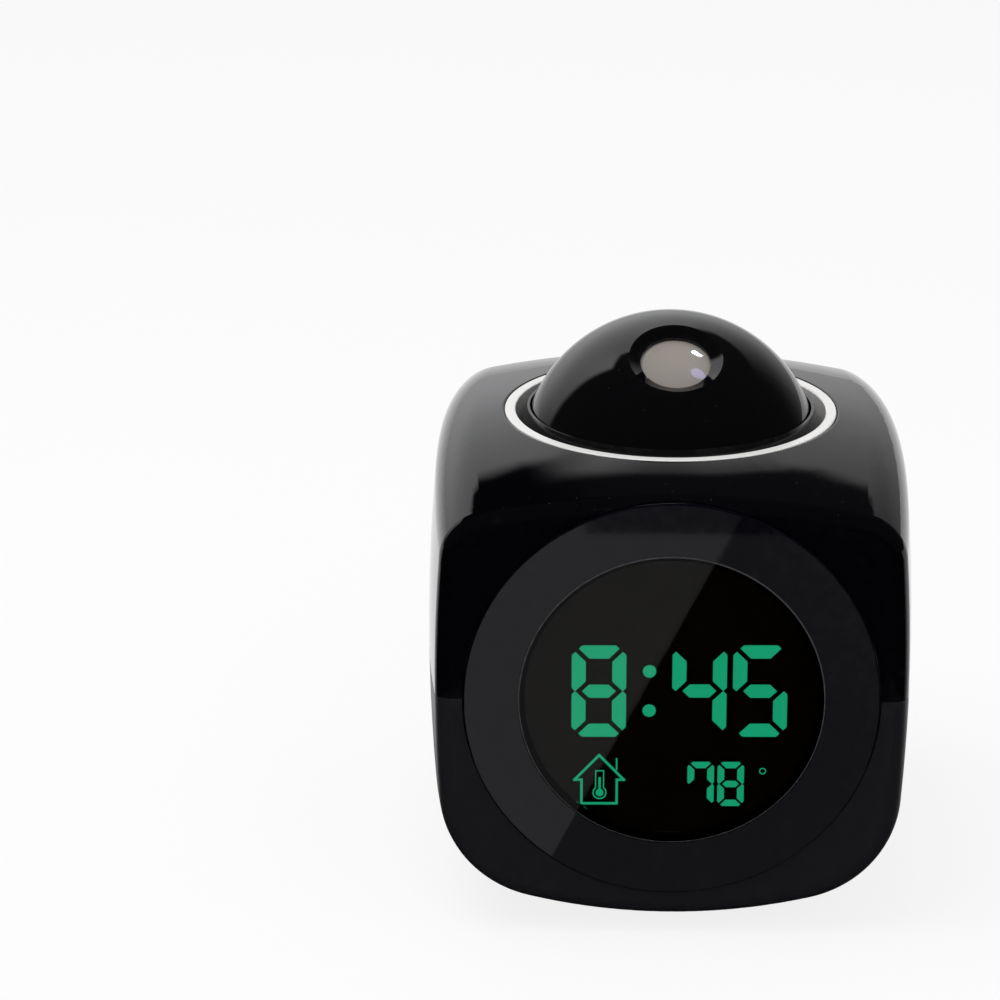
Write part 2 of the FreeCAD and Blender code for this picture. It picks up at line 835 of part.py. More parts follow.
def make_projector_ball():
    inner_radius = ball_radius - ball_wall
    low = math.cos(math.radians(ball_reach_deg))
    low_side = math.sin(math.radians(ball_reach_deg))
    sleeve_radius = recess_radius + sleeve_wall
    outer_end = (ball_radius * low_side, ball_radius * low)
    inner_end = (inner_radius * low_side, inner_radius * low)
    edges = [sphere_arc(ball_radius, 0.0, recess_top, ball_radius * low), line(outer_end, inner_end)]
    sleeve_top = sphere_radius_at(inner_radius, sleeve_radius)
    edges.append(sphere_arc(inner_radius, 0.0, inner_radius * low, sleeve_top))
    pocket_radius = lens_radius + lens_lip + lens_gap
    inside = [
        (sleeve_radius, sleeve_top),
        (sleeve_radius, sleeve_bottom),
        (pocket_radius, sleeve_bottom),
        (pocket_radius, lens_top),
        (lens_radius, lens_top),
        (lens_radius, recess_floor),
        (recess_radius, recess_top),
    ]
    edges += chain(inside, close=False)
    ball = revolve(edges)
    bosses = []
    for side in (-1, 1):
        start = side * (inner_radius - pin_boss_depth)
        end = side * (ball_radius - ball_wall / 2)
        bosses.append(cylinder_x(0, 0, min(start, end), max(start, end), pin_boss_radius))
    ball = fuse_all([ball] + bosses)
    for side in (-1, 1):
        start = side * (inner_radius - pin_boss_depth - 1)
        end = side * (ball_radius + 1)
        ball = ball.cut(cylinder_x(0, 0, min(start, end), max(start, end), pin_radius))
    return turned(ball)


def make_pivot_pins():
    inner_end = ball_radius - ball_wall - pin_boss_depth
    outer_end = socket_outer_radius - pin_end_gap
    return Part.Compound(
        [
            turned(cylinder_x(0, 0, inner_end, outer_end, pin_radius)),
            turned(cylinder_x(0, 0, -outer_end, -inner_end, pin_radius)),
        ]
    )


def make_projector_lens():
    """A round lens with a domed front, seated behind the lip of the recess."""
    edge_radius = lens_radius + lens_lip
    dome_radius = fall_radius(lens_radius - lens_gap, lens_crown)
    rim = lens_radius - lens_gap
    bottom = lens_top - lens_edge_thickness
    top = lens_top + lens_crown
    dome_middle = towards((0.0, top - dome_radius), (rim / 2, top), dome_radius)
    outside = [(0.0, top), (0.0, bottom), (edge_radius, bottom), (edge_radius, lens_top), (rim, lens_top)]
    edges = chain(outside, close=False)
    dome_points = [Vector(p[0], 0, p[1]) for p in ((rim, lens_top), dome_middle, (0.0, top))]
    edges.append(Part.Arc(*dome_points).toShape())
    return turned(revolve(edges))


def make_projector_barrel():
    outer_radius = recess_radius + sleeve_wall
    barrel = ring_z_axis(barrel_bottom, sleeve_bottom, outer_radius, lens_radius + lens_lip + lens_gap)
    return turned(barrel)


def make_lens_ring():
    top = lens_top - lens_edge_thickness
    outer_radius = lens_radius + lens_lip
    return turned(ring_z_axis(top - lens_ring_height, top, outer_radius, outer_radius - lens_ring_wall))


def make_film_holder():
    top = lens_top - film_below_lens
    holder = cylinder_z(0, 0, top - film_holder_thickness, top, lens_radius + lens_lip)
    half = film_size / 2
    window = box(-half, half, -half, half, top - film_holder_thickness - 1, top + 1)
    return turned(holder.cut(window))


def make_projection_film():
    top = lens_top - film_below_lens
    half = film_size / 2 - lens_gap
    return turned(box(-half, half, -half, half, top - film_thickness, top))


def make_led_board():
    radius = recess_radius + sleeve_wall
    return turned(cylinder_z(0, 0, barrel_bottom - led_board_thickness, barrel_bottom, radius))


def make_projector_led():
    base = cylinder_z(0, 0, barrel_bottom, barrel_bottom + led_height - led_radius, led_radius)
    dome = Part.makeSphere(led_radius, Vector(0, 0, barrel_bottom + led_height - led_radius))
    return turned(fuse_all([base, dome]))


def make_head_bracket():
    plate = ring_z_axis(bracket_bottom_z, bracket_top_z, bracket_radius, bracket_hole_radius)
    ears = []
    for angle in post_angles:
        x, y = polar(post_ring_radius, angle)
        ears.append(cylinder_z(x, y, bracket_bottom_z, bracket_top_z, bracket_ear_radius))
    clear_ball = cylinder_z(0, 0, bracket_bottom_z - 1, bracket_top_z + 1, bracket_hole_radius)
    plate = fuse_all([plate] + ears).cut(clear_ball)
    plate = plate.common(box(-far, far, bracket_front_y, far, 0, far))
    for angle in post_angles:
        x, y = polar(post_ring_radius, angle)
        hole_radius = small_screw_radius + screw_clearance
        plate = plate.cut(cylinder_z(x, y, bracket_bottom_z - 1, bracket_top_z + 1, hole_radius))
    return plate


def make_head_springs():
    springs = []
    for angle in spring_angles:
        x, y = polar(spring_circle, angle)
        spring = cylinder_z(x, y, bracket_top_z, socket_bottom_z, spring_radius)
        springs.append(spring.cut(cylinder_z(x, y, 0, far, spring_radius - spring_wire)))
    return Part.Compound(springs)


def make_switch_board():
    x, y = polar(spring_circle, switch_angle)
    half_length, half_board = switch_board_length / 2, switch_board_width / 2
    top = bracket_top_z + switch_board_thickness
    board = box(x - half_length, x + half_length, y - half_board, y + half_board, bracket_top_z, top)
    keep = ring_z_axis(bracket_top_z - 1, far, bracket_radius, bracket_hole_radius)
    return board.common(keep)


def make_press_switch():
    x, y = polar(spring_circle, switch_angle)
    half = switch_size / 2
    base = bracket_top_z + switch_board_thickness
    body = box(x - half, x + half, y - half, y + half, base, base + switch_height)
    top = socket_bottom_z - press_travel - switch_stem_gap
    return fuse_all([body, cylinder_z(x, y, base, top, switch_stem_radius)])


def make_button(x):
    cap = pill(x, button_z, button_flange_back_y, rear_y + button_proud, 0.0)
    rim = [e for e in cap.Edges if e.BoundBox.YMin > rear_y + button_proud - 0.01]
    cap = cap.makeFillet(button_round, rim)
    flange_front_y = button_flange_back_y + button_flange_thickness
    flange = pill(x, button_z, button_flange_back_y, flange_front_y, button_flange)
    stem = cylinder_y(x, button_z, button_stem_y, button_flange_back_y, button_stem / 2)
    return fuse_all([cap, flange, stem])


def make_button_pad():
    width = (button_count - 1) * button_pitch + button_width
    base_front_y = pad_back_y + pad_thickness
    base = rounded_block_y(0, button_z, pad_back_y, base_front_y, width, pad_height, pad_height / 4)
    dome_reach = pad_front_y - pad_back_y
    domes = []
    for x in button_places():
        foot = Vector(x, pad_back_y, button_z)
        domes.append(Part.makeCone(pad_dome_radius, pad_dome_tip_radius, dome_reach, foot, Vector(0, 1, 0)))
    return fuse_all([base] + domes)


def make_button_board():
    half_board, half = button_board_width / 2, button_board_height / 2
    board = box(-half_board, half_board, button_board_y, pad_back_y, button_z - half, button_z + half)
    for side in (-1, 1):
        x = side * button_post_x
        board = board.cut(cylinder_y(x, button_z, 0, far, small_screw_radius + screw_clearance))
    return board


def make_button_screws():
    screws = []
    for side in (-1, 1):
        start = Vector(side * button_post_x, button_board_y, button_z)
        screws.append(screw(small_screw_radius, button_screw_length, start, Vector(0, 1, 0)))
    return Part.Compound(screws)


def make_speaker_basket():
    front = inner_rear_y
    back = front - speaker_basket_depth
    can = cylinder_y(0, speaker_z, back, front, speaker_radius)
    inside_radius = speaker_radius - speaker_basket_wall
    inside = cylinder_y(0, speaker_z, back + speaker_basket_wall, front + 1, inside_radius)
    return can.cut(inside)


def make_speaker_magnet():
    back = inner_rear_y - speaker_basket_depth
    magnet = cylinder_y(0, speaker_z, back - magnet_depth, back, magnet_radius)
    rim = [e for e in magnet.Edges if e.BoundBox.YMax < back - magnet_depth + 0.01]
    return magnet.makeChamfer(magnet_depth / 6, rim)


def make_speaker_cone():
    rim = speaker_radius - speaker_basket_wall - speaker_gap
    front = -speaker_gap
    outline = [
        (rim, front),
        (cone_hub_radius, front - cone_depth),
        (0.0, front - cone_depth),
        (0.0, front - cone_depth - cone_thickness),
        (cone_hub_radius, front - cone_depth - cone_thickness),
        (rim, front - cone_thickness),
    ]
    cone = revolve(chain(outline))
    cone.rotate(Vector(0, 0, 0), Vector(1, 0, 0), -90)
    cone.translate(Vector(0, inner_rear_y, speaker_z))
    return cone


def cell_places():
    return [tray_bottom_z + cell_gap + cell_radius + i * cell_pitch for i in range(cell_count)]


def make_battery_door():
    plate = box(-door_half_width, door_half_width, door_back_y, far, hinge_z, door_top_z)
    bead = cylinder_x(hinge_y, hinge_z, -door_half_width, door_half_width, door_hinge_radius)
    door = fuse_all([plate, bead]).common(outer_form)
    pin_end = door_half_width + hinge_pin_length
    pins = cylinder_x(hinge_y, hinge_z, -pin_end, pin_end, hinge_pin_radius)
    ribs = []
    for i in range(grip_rib_count):
        z = door_top_z - grip_rib_pitch * (i + 2)
        ribs.append(cylinder_x(rear_y, z, -grip_rib_length / 2, grip_rib_length / 2, grip_rib_radius))
    return cut_all(fuse_all([door, pins]), ribs)


def spring_side(i):
    return -1 if i % 2 == 0 else 1


def cell_span(i):
    """The ends of a cell along X, its plain end first, in the direction of its nub."""
    side = spring_side(i)
    nub_end = -side * (contact_span / 2 - contact_gap)
    return nub_end + side * (cell_length + cell_nub_length), nub_end


def make_aaa_cells():
    cells = []
    y = tray_floor_y + cell_gap + cell_radius
    for i, z in enumerate(cell_places()):
        plain_end, nub_end = cell_span(i)
        way = -spring_side(i)
        body_end = plain_end + way * cell_length
        can = cylinder_x(y, z, min(plain_end, body_end), max(plain_end, body_end), cell_radius)
        can = can.makeFillet(cell_edge_round, [e for e in can.Edges if e.Length > cell_radius * 6])
        nub = cylinder_x(y, z, min(body_end, nub_end), max(body_end, nub_end), cell_nub_radius)
        cells.append(fuse_all([can, nub]))
    return Part.Compound(cells)


def make_contact_plates():
    plates = []
    y = tray_floor_y + cell_gap + cell_radius
    for z in cell_places():
        for side in (-1, 1):
            outer = side * tray_half_width
            inner = side * (tray_half_width - contact_thickness)
            low_x, high_x = sorted((outer, inner))
            low_y, low_z = y - contact_width / 2, z - contact_height / 2
            plates.append(box(low_x, high_x, low_y, low_y + contact_width, low_z, low_z + contact_height))
    return Part.Compound(plates)


def make_contact_springs():
    springs = []
    y = tray_floor_y + cell_gap + cell_radius
    for i, z in enumerate(cell_places()):
        side = spring_side(i)
        start, way = Vector(side * contact_span / 2, y, z), Vector(-side, 0, 0)
        length = contact_spring_length
        cone = Part.makeCone(contact_spring_base, contact_spring_tip, length, start, way)
        springs.append(cone.cut(Part.makeCylinder(contact_spring_tip - spring_wire, length, start, way)))
    return Part.Compound(springs)


recess_top = sphere_radius_at(ball_radius, recess_radius)
recess_floor = recess_top - recess_depth
lens_top = recess_floor - lens_lip_height
sleeve_bottom = lens_top - sleeve_depth
barrel_bottom = sleeve_bottom - barrel_length

parts = {
    "upper_shell": make_upper_shell(),
    "lower_shell": make_lower_shell(),
    "rubber_feet": make_rubber_feet(),
    "case_screws": make_case_screws(),
    "front_bezel": make_front_bezel(),
    "window_lens": make_window_lens(),
    "lcd_panel": make_lcd_panel(),
    "lcd_diffuser": make_diffuser(),
    "light_guide": make_light_guide(),
    "zebra_strips": make_zebra_strips(),
    "lcd_frame": make_lcd_frame(),
    "frame_screws": make_frame_screws(),
    "main_board": make_main_board(),
    "board_screws": make_board_screws(),
    "board_parts": make_board_parts(),
    "trim_ring": make_trim_ring(),
    "head_socket": make_head_socket(),
    "projector_ball": make_projector_ball(),
    "pivot_pins": make_pivot_pins(),
    "projector_lens": make_projector_lens(),
    "lens_ring": make_lens_ring(),
    "projector_barrel": make_projector_barrel(),
    "film_holder": make_film_holder(),
    "projection_film": make_projection_film(),
    "led_board": make_led_board(),
    "projector_led": make_projector_led(),
    "head_bracket": make_head_bracket(),
    "bracket_screws": make_bracket_screws(),
    "head_springs": make_head_springs(),
    "switch_board": make_switch_board(),
    "press_switch": make_press_switch(),
    "button_pad": make_button_pad(),
    "button_board": make_button_board(),
    "button_screws": make_button_screws(),
    "speaker_basket": make_speaker_basket(),
    "speaker_magnet": make_speaker_magnet(),
    "speaker_cone": make_speaker_cone(),
    "battery_door": make_battery_door(),
    "aaa_cells": make_aaa_cells(),
    "contact_plates": make_contact_plates(),
    "contact_springs": make_contact_springs(),
}
for name, x in zip(("down_button", "up_button", "set_button", "mode_button"), button_places()):
    parts[name] = make_button(x)

os.makedirs("parts", exist_ok=True)
for name, shape in parts.items():
    shape.exportStep(os.path.join("parts", name + ".step"))
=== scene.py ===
import math

import bmesh
import bpy
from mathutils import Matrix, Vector


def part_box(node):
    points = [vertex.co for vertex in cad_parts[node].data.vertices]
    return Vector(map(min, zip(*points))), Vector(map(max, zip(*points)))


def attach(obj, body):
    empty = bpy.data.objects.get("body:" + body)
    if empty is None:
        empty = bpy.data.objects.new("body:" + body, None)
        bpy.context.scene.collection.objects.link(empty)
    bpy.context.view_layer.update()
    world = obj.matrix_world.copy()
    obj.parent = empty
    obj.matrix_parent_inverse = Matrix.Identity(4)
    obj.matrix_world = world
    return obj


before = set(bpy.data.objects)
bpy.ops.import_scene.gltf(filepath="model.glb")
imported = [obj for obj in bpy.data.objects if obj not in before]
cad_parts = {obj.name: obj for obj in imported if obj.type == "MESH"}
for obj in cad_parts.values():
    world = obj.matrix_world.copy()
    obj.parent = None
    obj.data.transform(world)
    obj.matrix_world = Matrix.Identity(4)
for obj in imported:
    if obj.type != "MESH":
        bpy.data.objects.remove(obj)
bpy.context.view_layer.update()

MM = 0.001

# Places on the clock, read from the frame, in metres
panel_low, panel_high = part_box("lcd_panel")
PANEL_FRONT = panel_low.y
DISPLAY_HEIGHT = (panel_low.z + panel_high.z) / 2

# Edge wear: where an edge begins and how fast its wear grows, then the patches that break it up
EDGE_POINTINESS = 0.52
EDGE_GAIN = 14.0
PATCH_SCALE = 420.0
PATCH_LEVEL = 0.42
PATCH_GAIN = 5.0

# Settled dust: how far a face has to look up, the cells that hold the specks, and which cells have one
DUST_UPWARD = 0.2
DUST_UPWARD_GAIN = 1.2
CELLS_PER_SPECK = 6.0
SPECK_RADIUS = 0.13
SPECK_GAIN = 30.0
SPECK_CHOICE_SCALE = 700.0
SPECK_CHOICE = 0.62

# Finishes that several materials share
DUST_COLOUR = (0.55, 0.53, 0.5)
RUBBED_LIFT = 0.03
RUBBED_GAIN = 1.6
WORN_ROUGHNESS = 0.3
MOULDED_BUMP = 0.35
TARNISH_COLOUR = (0.2, 0.18, 0.15)
TARNISH_FROM = 0.55
TARNISH_GAIN = 2.0
TARNISH_ROUGHNESS = 0.25
BRUSHED_STRETCH = (0.05, 1.0, 1.0)
BRUSHED_BUMP = 0.5
BRUSHED_DEPTH = 0.01
CELL_BAND_FROM = 9.0 * MM
CELL_ENDS_FROM = 21.5 * MM


# Shader node groups
def new_group(name, inputs, outputs):
    """An empty shader node group with float inputs, and outputs given as (name, socket type)."""
    group = bpy.data.node_groups.new(name, "ShaderNodeTree")
    for label, value in inputs.items():
        socket = group.interface.new_socket(label, in_out="INPUT", socket_type="NodeSocketFloat")
        socket.default_value = value
    for label, kind in outputs:
        group.interface.new_socket(label, in_out="OUTPUT", socket_type=kind)
    return group, group.nodes.new("NodeGroupInput"), group.nodes.new("NodeGroupOutput")


def node(tree, kind, inputs=None, **settings):
    """A node with its settings, and with inputs that are values or other nodes' sockets."""
    made = tree.nodes.new(kind)
    for key, value in settings.items():
        setattr(made, key, value)
    for key, value in (inputs or {}).items():
        if isinstance(value, bpy.types.NodeSocket):
            tree.links.new(value, made.inputs[key])
        else:
            made.inputs[key].default_value = value
    return made


def maths(tree, operation, a, b=0.0, clamp=False):
    return node(tree, "ShaderNodeMath", {0: a, 1: b}, operation=operation, use_clamp=clamp).outputs[0]


def ramp(tree, value, start, gain):
    """Zero up to the start, then rising by the gain until it reaches one."""
    return maths(tree, "MULTIPLY", maths(tree, "SUBTRACT", value, start), gain, clamp=True)


def vary(tree, level, value, share, clamp=False):
    """A level that a share of a value is added to."""
    return maths(tree, "ADD", level, maths(tree, "MULTIPLY", value, share), clamp=clamp)


def object_place(tree):
    return node(tree, "ShaderNodeTexCoord").outputs["Object"]


def noise(tree, place, scale, detail=2.0, roughness=0.5):
    inputs = {"Vector": place, "Scale": scale, "Detail": detail, "Roughness": roughness}
    return node(tree, "ShaderNodeTexNoise", inputs).outputs["Fac"]


def per_metre(tree, size_mm):
    """How many features of a size in mm go into a metre."""
    return maths(tree, "DIVIDE", 1000.0, size_mm)


def make_moulded_grain():
    """Fine texture of a moulded surface: a height for Bump and a slow drift of the polish."""
    group, source, result = new_group(
        "moulded_grain",
        {"Grain size mm": 0.3, "Drift size mm": 18.0},
        [("Height", "NodeSocketFloat"), ("Drift", "NodeSocketFloat")],
    )
    place = object_place(group)
    fine = noise(group, place, per_metre(group, source.outputs["Grain size mm"]), 3.0, 0.6)
    slow = noise(group, place, per_metre(group, source.outputs["Drift size mm"]))
    group.links.new(fine, result.inputs["Height"])
    group.links.new(maths(group, "SUBTRACT", slow, 0.5), result.inputs["Drift"])
    return group


def make_edge_wear():
    """A mask of rubbed edges, broken up by noise."""
    group, source, result = new_group("edge_wear", {"Reach": 0.5}, [("Mask", "NodeSocketFloat")])
    sharp = node(group, "ShaderNodeNewGeometry").outputs["Pointiness"]
    edge = ramp(group, sharp, EDGE_POINTINESS, EDGE_GAIN)
    patches = noise(group, object_place(group), PATCH_SCALE, 4.0, 0.7)
    worn = maths(group, "MULTIPLY", edge, ramp(group, patches, PATCH_LEVEL, PATCH_GAIN))
    group.links.new(maths(group, "MULTIPLY", worn, source.outputs["Reach"]), result.inputs["Mask"])
    return group


def make_settled_dust():
    """A mask of sparse specks that lie on faces that look up."""
    group, source, result = new_group(
        "settled_dust", {"Amount": 0.1, "Speck size mm": 0.2}, [("Mask", "NodeSocketFloat")]
    )
    normal = node(group, "ShaderNodeSeparateXYZ", {0: node(group, "ShaderNodeNewGeometry").outputs["Normal"]})
    upward = ramp(group, normal.outputs["Z"], DUST_UPWARD, DUST_UPWARD_GAIN)
    cell_size = maths(group, "MULTIPLY", source.outputs["Speck size mm"], CELLS_PER_SPECK)
    cell_inputs = {"Vector": object_place(group), "Scale": per_metre(group, cell_size)}
    cells = node(group, "ShaderNodeTexVoronoi", cell_inputs)
    inside = maths(group, "SUBTRACT", SPECK_RADIUS, cells.outputs["Distance"])
    specks = maths(group, "MULTIPLY", inside, SPECK_GAIN, clamp=True)
    choice = noise(group, object_place(group), SPECK_CHOICE_SCALE, 0.0)
    few = maths(group, "GREATER_THAN", choice, SPECK_CHOICE)
    lying = maths(group, "MULTIPLY", maths(group, "MULTIPLY", specks, few), upward)
    group.links.new(maths(group, "MULTIPLY", lying, source.outputs["Amount"]), result.inputs["Mask"])
    return group


def make_brushed_lines():
    """Long fine lines of drawn or brushed metal along X, as a height."""
    group, source, result = new_group("brushed_lines", {"Line size mm": 0.1}, [("Height", "NodeSocketFloat")])
    stretched = node(group, "ShaderNodeMapping", {"Vector": object_place(group), "Scale": BRUSHED_STRETCH})
    lines = noise(group, stretched.outputs[0], per_metre(group, source.outputs["Line size mm"]))
    group.links.new(lines, result.inputs["Height"])
    return group


GRAIN = make_moulded_grain()
WEAR = make_edge_wear()
DUST = make_settled_dust()
BRUSHED = make_brushed_lines()


def use_group(tree, group, **values):
    made = node(tree, "ShaderNodeGroup", node_tree=group)
    for label, value in values.items():
        made.inputs[label.replace("_", " ")].default_value = value
    return made


def blend_colour(tree, mask, below, above):
    """One colour where the mask is 0 and another where it is 1; each is a socket or a red, green and blue."""
    made = node(tree, "ShaderNodeMix", data_type="RGBA")
    for index, value in ((0, mask), (6, below), (7, above)):
        if isinstance(value, bpy.types.NodeSocket):
            tree.links.new(value, made.inputs[index])
        else:
            made.inputs[index].default_value = (*value, 1.0)
    return made.outputs[2]


def blank_material(name):
    material = bpy.data.materials.new(name)
    material.use_nodes = True
    tree = material.node_tree
    return material, tree, tree.nodes["Principled BSDF"]


def set_shader(shader, values):
    for label, value in values.items():
        shader.inputs[label].default_value = value


def raise_surface(tree, shader, height, strength, depth):
    """Bump from a height, with its depth in mm."""
    bump = node(tree, "ShaderNodeBump", {"Strength": strength, "Distance": depth * MM, "Height": height})
    tree.links.new(bump.outputs[0], shader.inputs["Normal"])


# Materials
def moulded_plastic(
    name, colour, roughness, grain=0.3, depth=0.01, wear=0.25, wear_colour=None, dust=0.1, drift=0.1,
    **shader_values
):
    """Moulded plastic or rubber with grain, uneven polish, rubbed edges and a little dust."""
    material, tree, shader = blank_material(name)
    surface = use_group(tree, GRAIN, Grain_size_mm=grain)
    worn = use_group(tree, WEAR, Reach=wear).outputs["Mask"]
    dusty = use_group(tree, DUST, Amount=dust).outputs["Mask"]
    rubbed = wear_colour or tuple(min(1.0, RUBBED_LIFT + RUBBED_GAIN * c) for c in colour)
    painted = blend_colour(tree, worn, colour, rubbed)
    tree.links.new(blend_colour(tree, dusty, painted, DUST_COLOUR), shader.inputs["Base Color"])
    uneven = vary(tree, roughness, surface.outputs["Drift"], drift)
    rough = vary(tree, uneven, maths(tree, "ADD", worn, dusty), WORN_ROUGHNESS, clamp=True)
    tree.links.new(rough, shader.inputs["Roughness"])
    raise_surface(tree, shader, surface.outputs["Height"], MOULDED_BUMP, depth)
    set_shader(shader, shader_values)
    return material


def drawn_metal(name, colour, roughness, line=0.12):
    """Plated or drawn metal with fine lines and slight tarnish."""
    material, tree, shader = blank_material(name)
    lines = use_group(tree, BRUSHED, Line_size_mm=line).outputs["Height"]
    surface = use_group(tree, GRAIN, Grain_size_mm=1.5)
    stained = ramp(tree, surface.outputs["Height"], TARNISH_FROM, TARNISH_GAIN)
    tree.links.new(blend_colour(tree, stained, colour, TARNISH_COLOUR), shader.inputs["Base Color"])
    tree.links.new(vary(tree, roughness, stained, TARNISH_ROUGHNESS), shader.inputs["Roughness"])
    raise_surface(tree, shader, lines, BRUSHED_BUMP, BRUSHED_DEPTH)
    set_shader(shader, {"Metallic": 1.0})
    return material


def clear_plastic(name, tint, roughness, ior):
    """Clear or smoked window plastic with the faintest waviness."""
    material, tree, shader = blank_material(name)
    surface = use_group(tree, GRAIN, Grain_size_mm=2.0, Drift_size_mm=40.0)
    smeared = vary(tree, roughness, surface.outputs["Drift"], 0.04, clamp=True)
    tree.links.new(smeared, shader.inputs["Roughness"])
    shade = maths(tree, "ADD", 0.5, surface.outputs["Drift"])
    deeper = tuple(0.94 * c for c in tint)
    tree.links.new(blend_colour(tree, shade, tint, deeper), shader.inputs["Base Color"])
    raise_surface(tree, shader, surface.outputs["Height"], 0.1, 0.002)
    set_shader(shader, {"Transmission Weight": 1.0, "IOR": ior})
    return material


def lit_segments(name, colour, strength):
    """Lit display segments with the slight unevenness of a backlight."""
    material, tree, shader = blank_material(name)
    surface = use_group(tree, GRAIN, Grain_size_mm=0.25, Drift_size_mm=9.0)
    bright = tuple(min(1.0, 1.12 * c) for c in colour)
    uneven = maths(tree, "ADD", 0.5, surface.outputs["Drift"], clamp=True)
    tree.links.new(blend_colour(tree, uneven, colour, bright), shader.inputs["Emission Color"])
    unlit = blend_colour(tree, surface.outputs["Height"], (0.0, 0.004, 0.002), (0.0, 0.01, 0.006))
    tree.links.new(unlit, shader.inputs["Base Color"])
    set_shader(shader, {"Emission Strength": strength, "Roughness": 0.6})
    return material


def display_glass():
    """The dark display: nearly black, with a fine brown speckle."""
    material, tree, shader = blank_material("display_glass_dark")
    surface = use_group(tree, GRAIN, Grain_size_mm=0.12, Drift_size_mm=25.0)
    speckle = blend_colour(
        tree, surface.outputs["Height"], (0.0068, 0.0037, 0.0014), (0.0092, 0.0051, 0.0021)
    )
    tree.links.new(speckle, shader.inputs["Base Color"])
    tree.links.new(vary(tree, 0.3, surface.outputs["Drift"], 0.1), shader.inputs["Roughness"])
    set_shader(shader, {"Specular IOR Level": 0.03})
    return material


def circuit_board():
    """Green solder mask over traces and pads."""
    material, tree, shader = blank_material("board_solder_mask")
    place = object_place(tree)
    traces = node(tree, "ShaderNodeTexBrick", {"Vector": place, "Scale": 260.0, "Mortar Size": 0.012})
    lines = traces.outputs["Fac"]
    mottled = noise(tree, place, 300.0, 3.0)
    base = blend_colour(tree, mottled, (0.01, 0.09, 0.03), (0.02, 0.14, 0.05))
    tree.links.new(blend_colour(tree, lines, base, (0.05, 0.25, 0.09)), shader.inputs["Base Color"])
    tree.links.new(vary(tree, 0.25, mottled, 0.2), shader.inputs["Roughness"])
    raise_surface(tree, shader, lines, 0.4, 0.03)
    return material


def cell_wrap():
    """A plain battery wrap: dark green with a pale grey band at one end, bare steel at the ends."""
    material, tree, shader = blank_material("cell_wrap")
    axis = node(tree, "ShaderNodeSeparateXYZ", {0: object_place(tree)})
    band = maths(tree, "GREATER_THAN", axis.outputs["X"], CELL_BAND_FROM)
    ends = maths(tree, "GREATER_THAN", maths(tree, "ABSOLUTE", axis.outputs["X"]), CELL_ENDS_FROM)
    fibres = noise(tree, object_place(tree), 500.0, 3.0)
    dark = blend_colour(tree, fibres, (0.012, 0.05, 0.035), (0.018, 0.066, 0.046))
    wrap = blend_colour(tree, band, dark, (0.4, 0.41, 0.4))
    tree.links.new(blend_colour(tree, ends, wrap, (0.6, 0.6, 0.58)), shader.inputs["Base Color"])
    tree.links.new(ends, shader.inputs["Metallic"])
    tree.links.new(vary(tree, 0.25, fibres, 0.15), shader.inputs["Roughness"])
    return material


def lens_glass():
    """The projector's lens: a glossy dome, grey-beige as from a pale frosted cell behind it."""
    material, tree, shader = blank_material("projector_lens_glass")
    surface = use_group(tree, GRAIN, Grain_size_mm=0.5, Drift_size_mm=6.0)
    cloudy = maths(tree, "ADD", 0.5, surface.outputs["Drift"])
    beige = blend_colour(tree, cloudy, (0.305, 0.277, 0.245), (0.26, 0.237, 0.213))
    tree.links.new(beige, shader.inputs["Base Color"])
    tree.links.new(vary(tree, 0.05, surface.outputs["Height"], 0.04), shader.inputs["Roughness"])
    set_shader(shader, {"Coat Weight": 0.6, "Coat Roughness": 0.07, "IOR": 1.5})
    return material


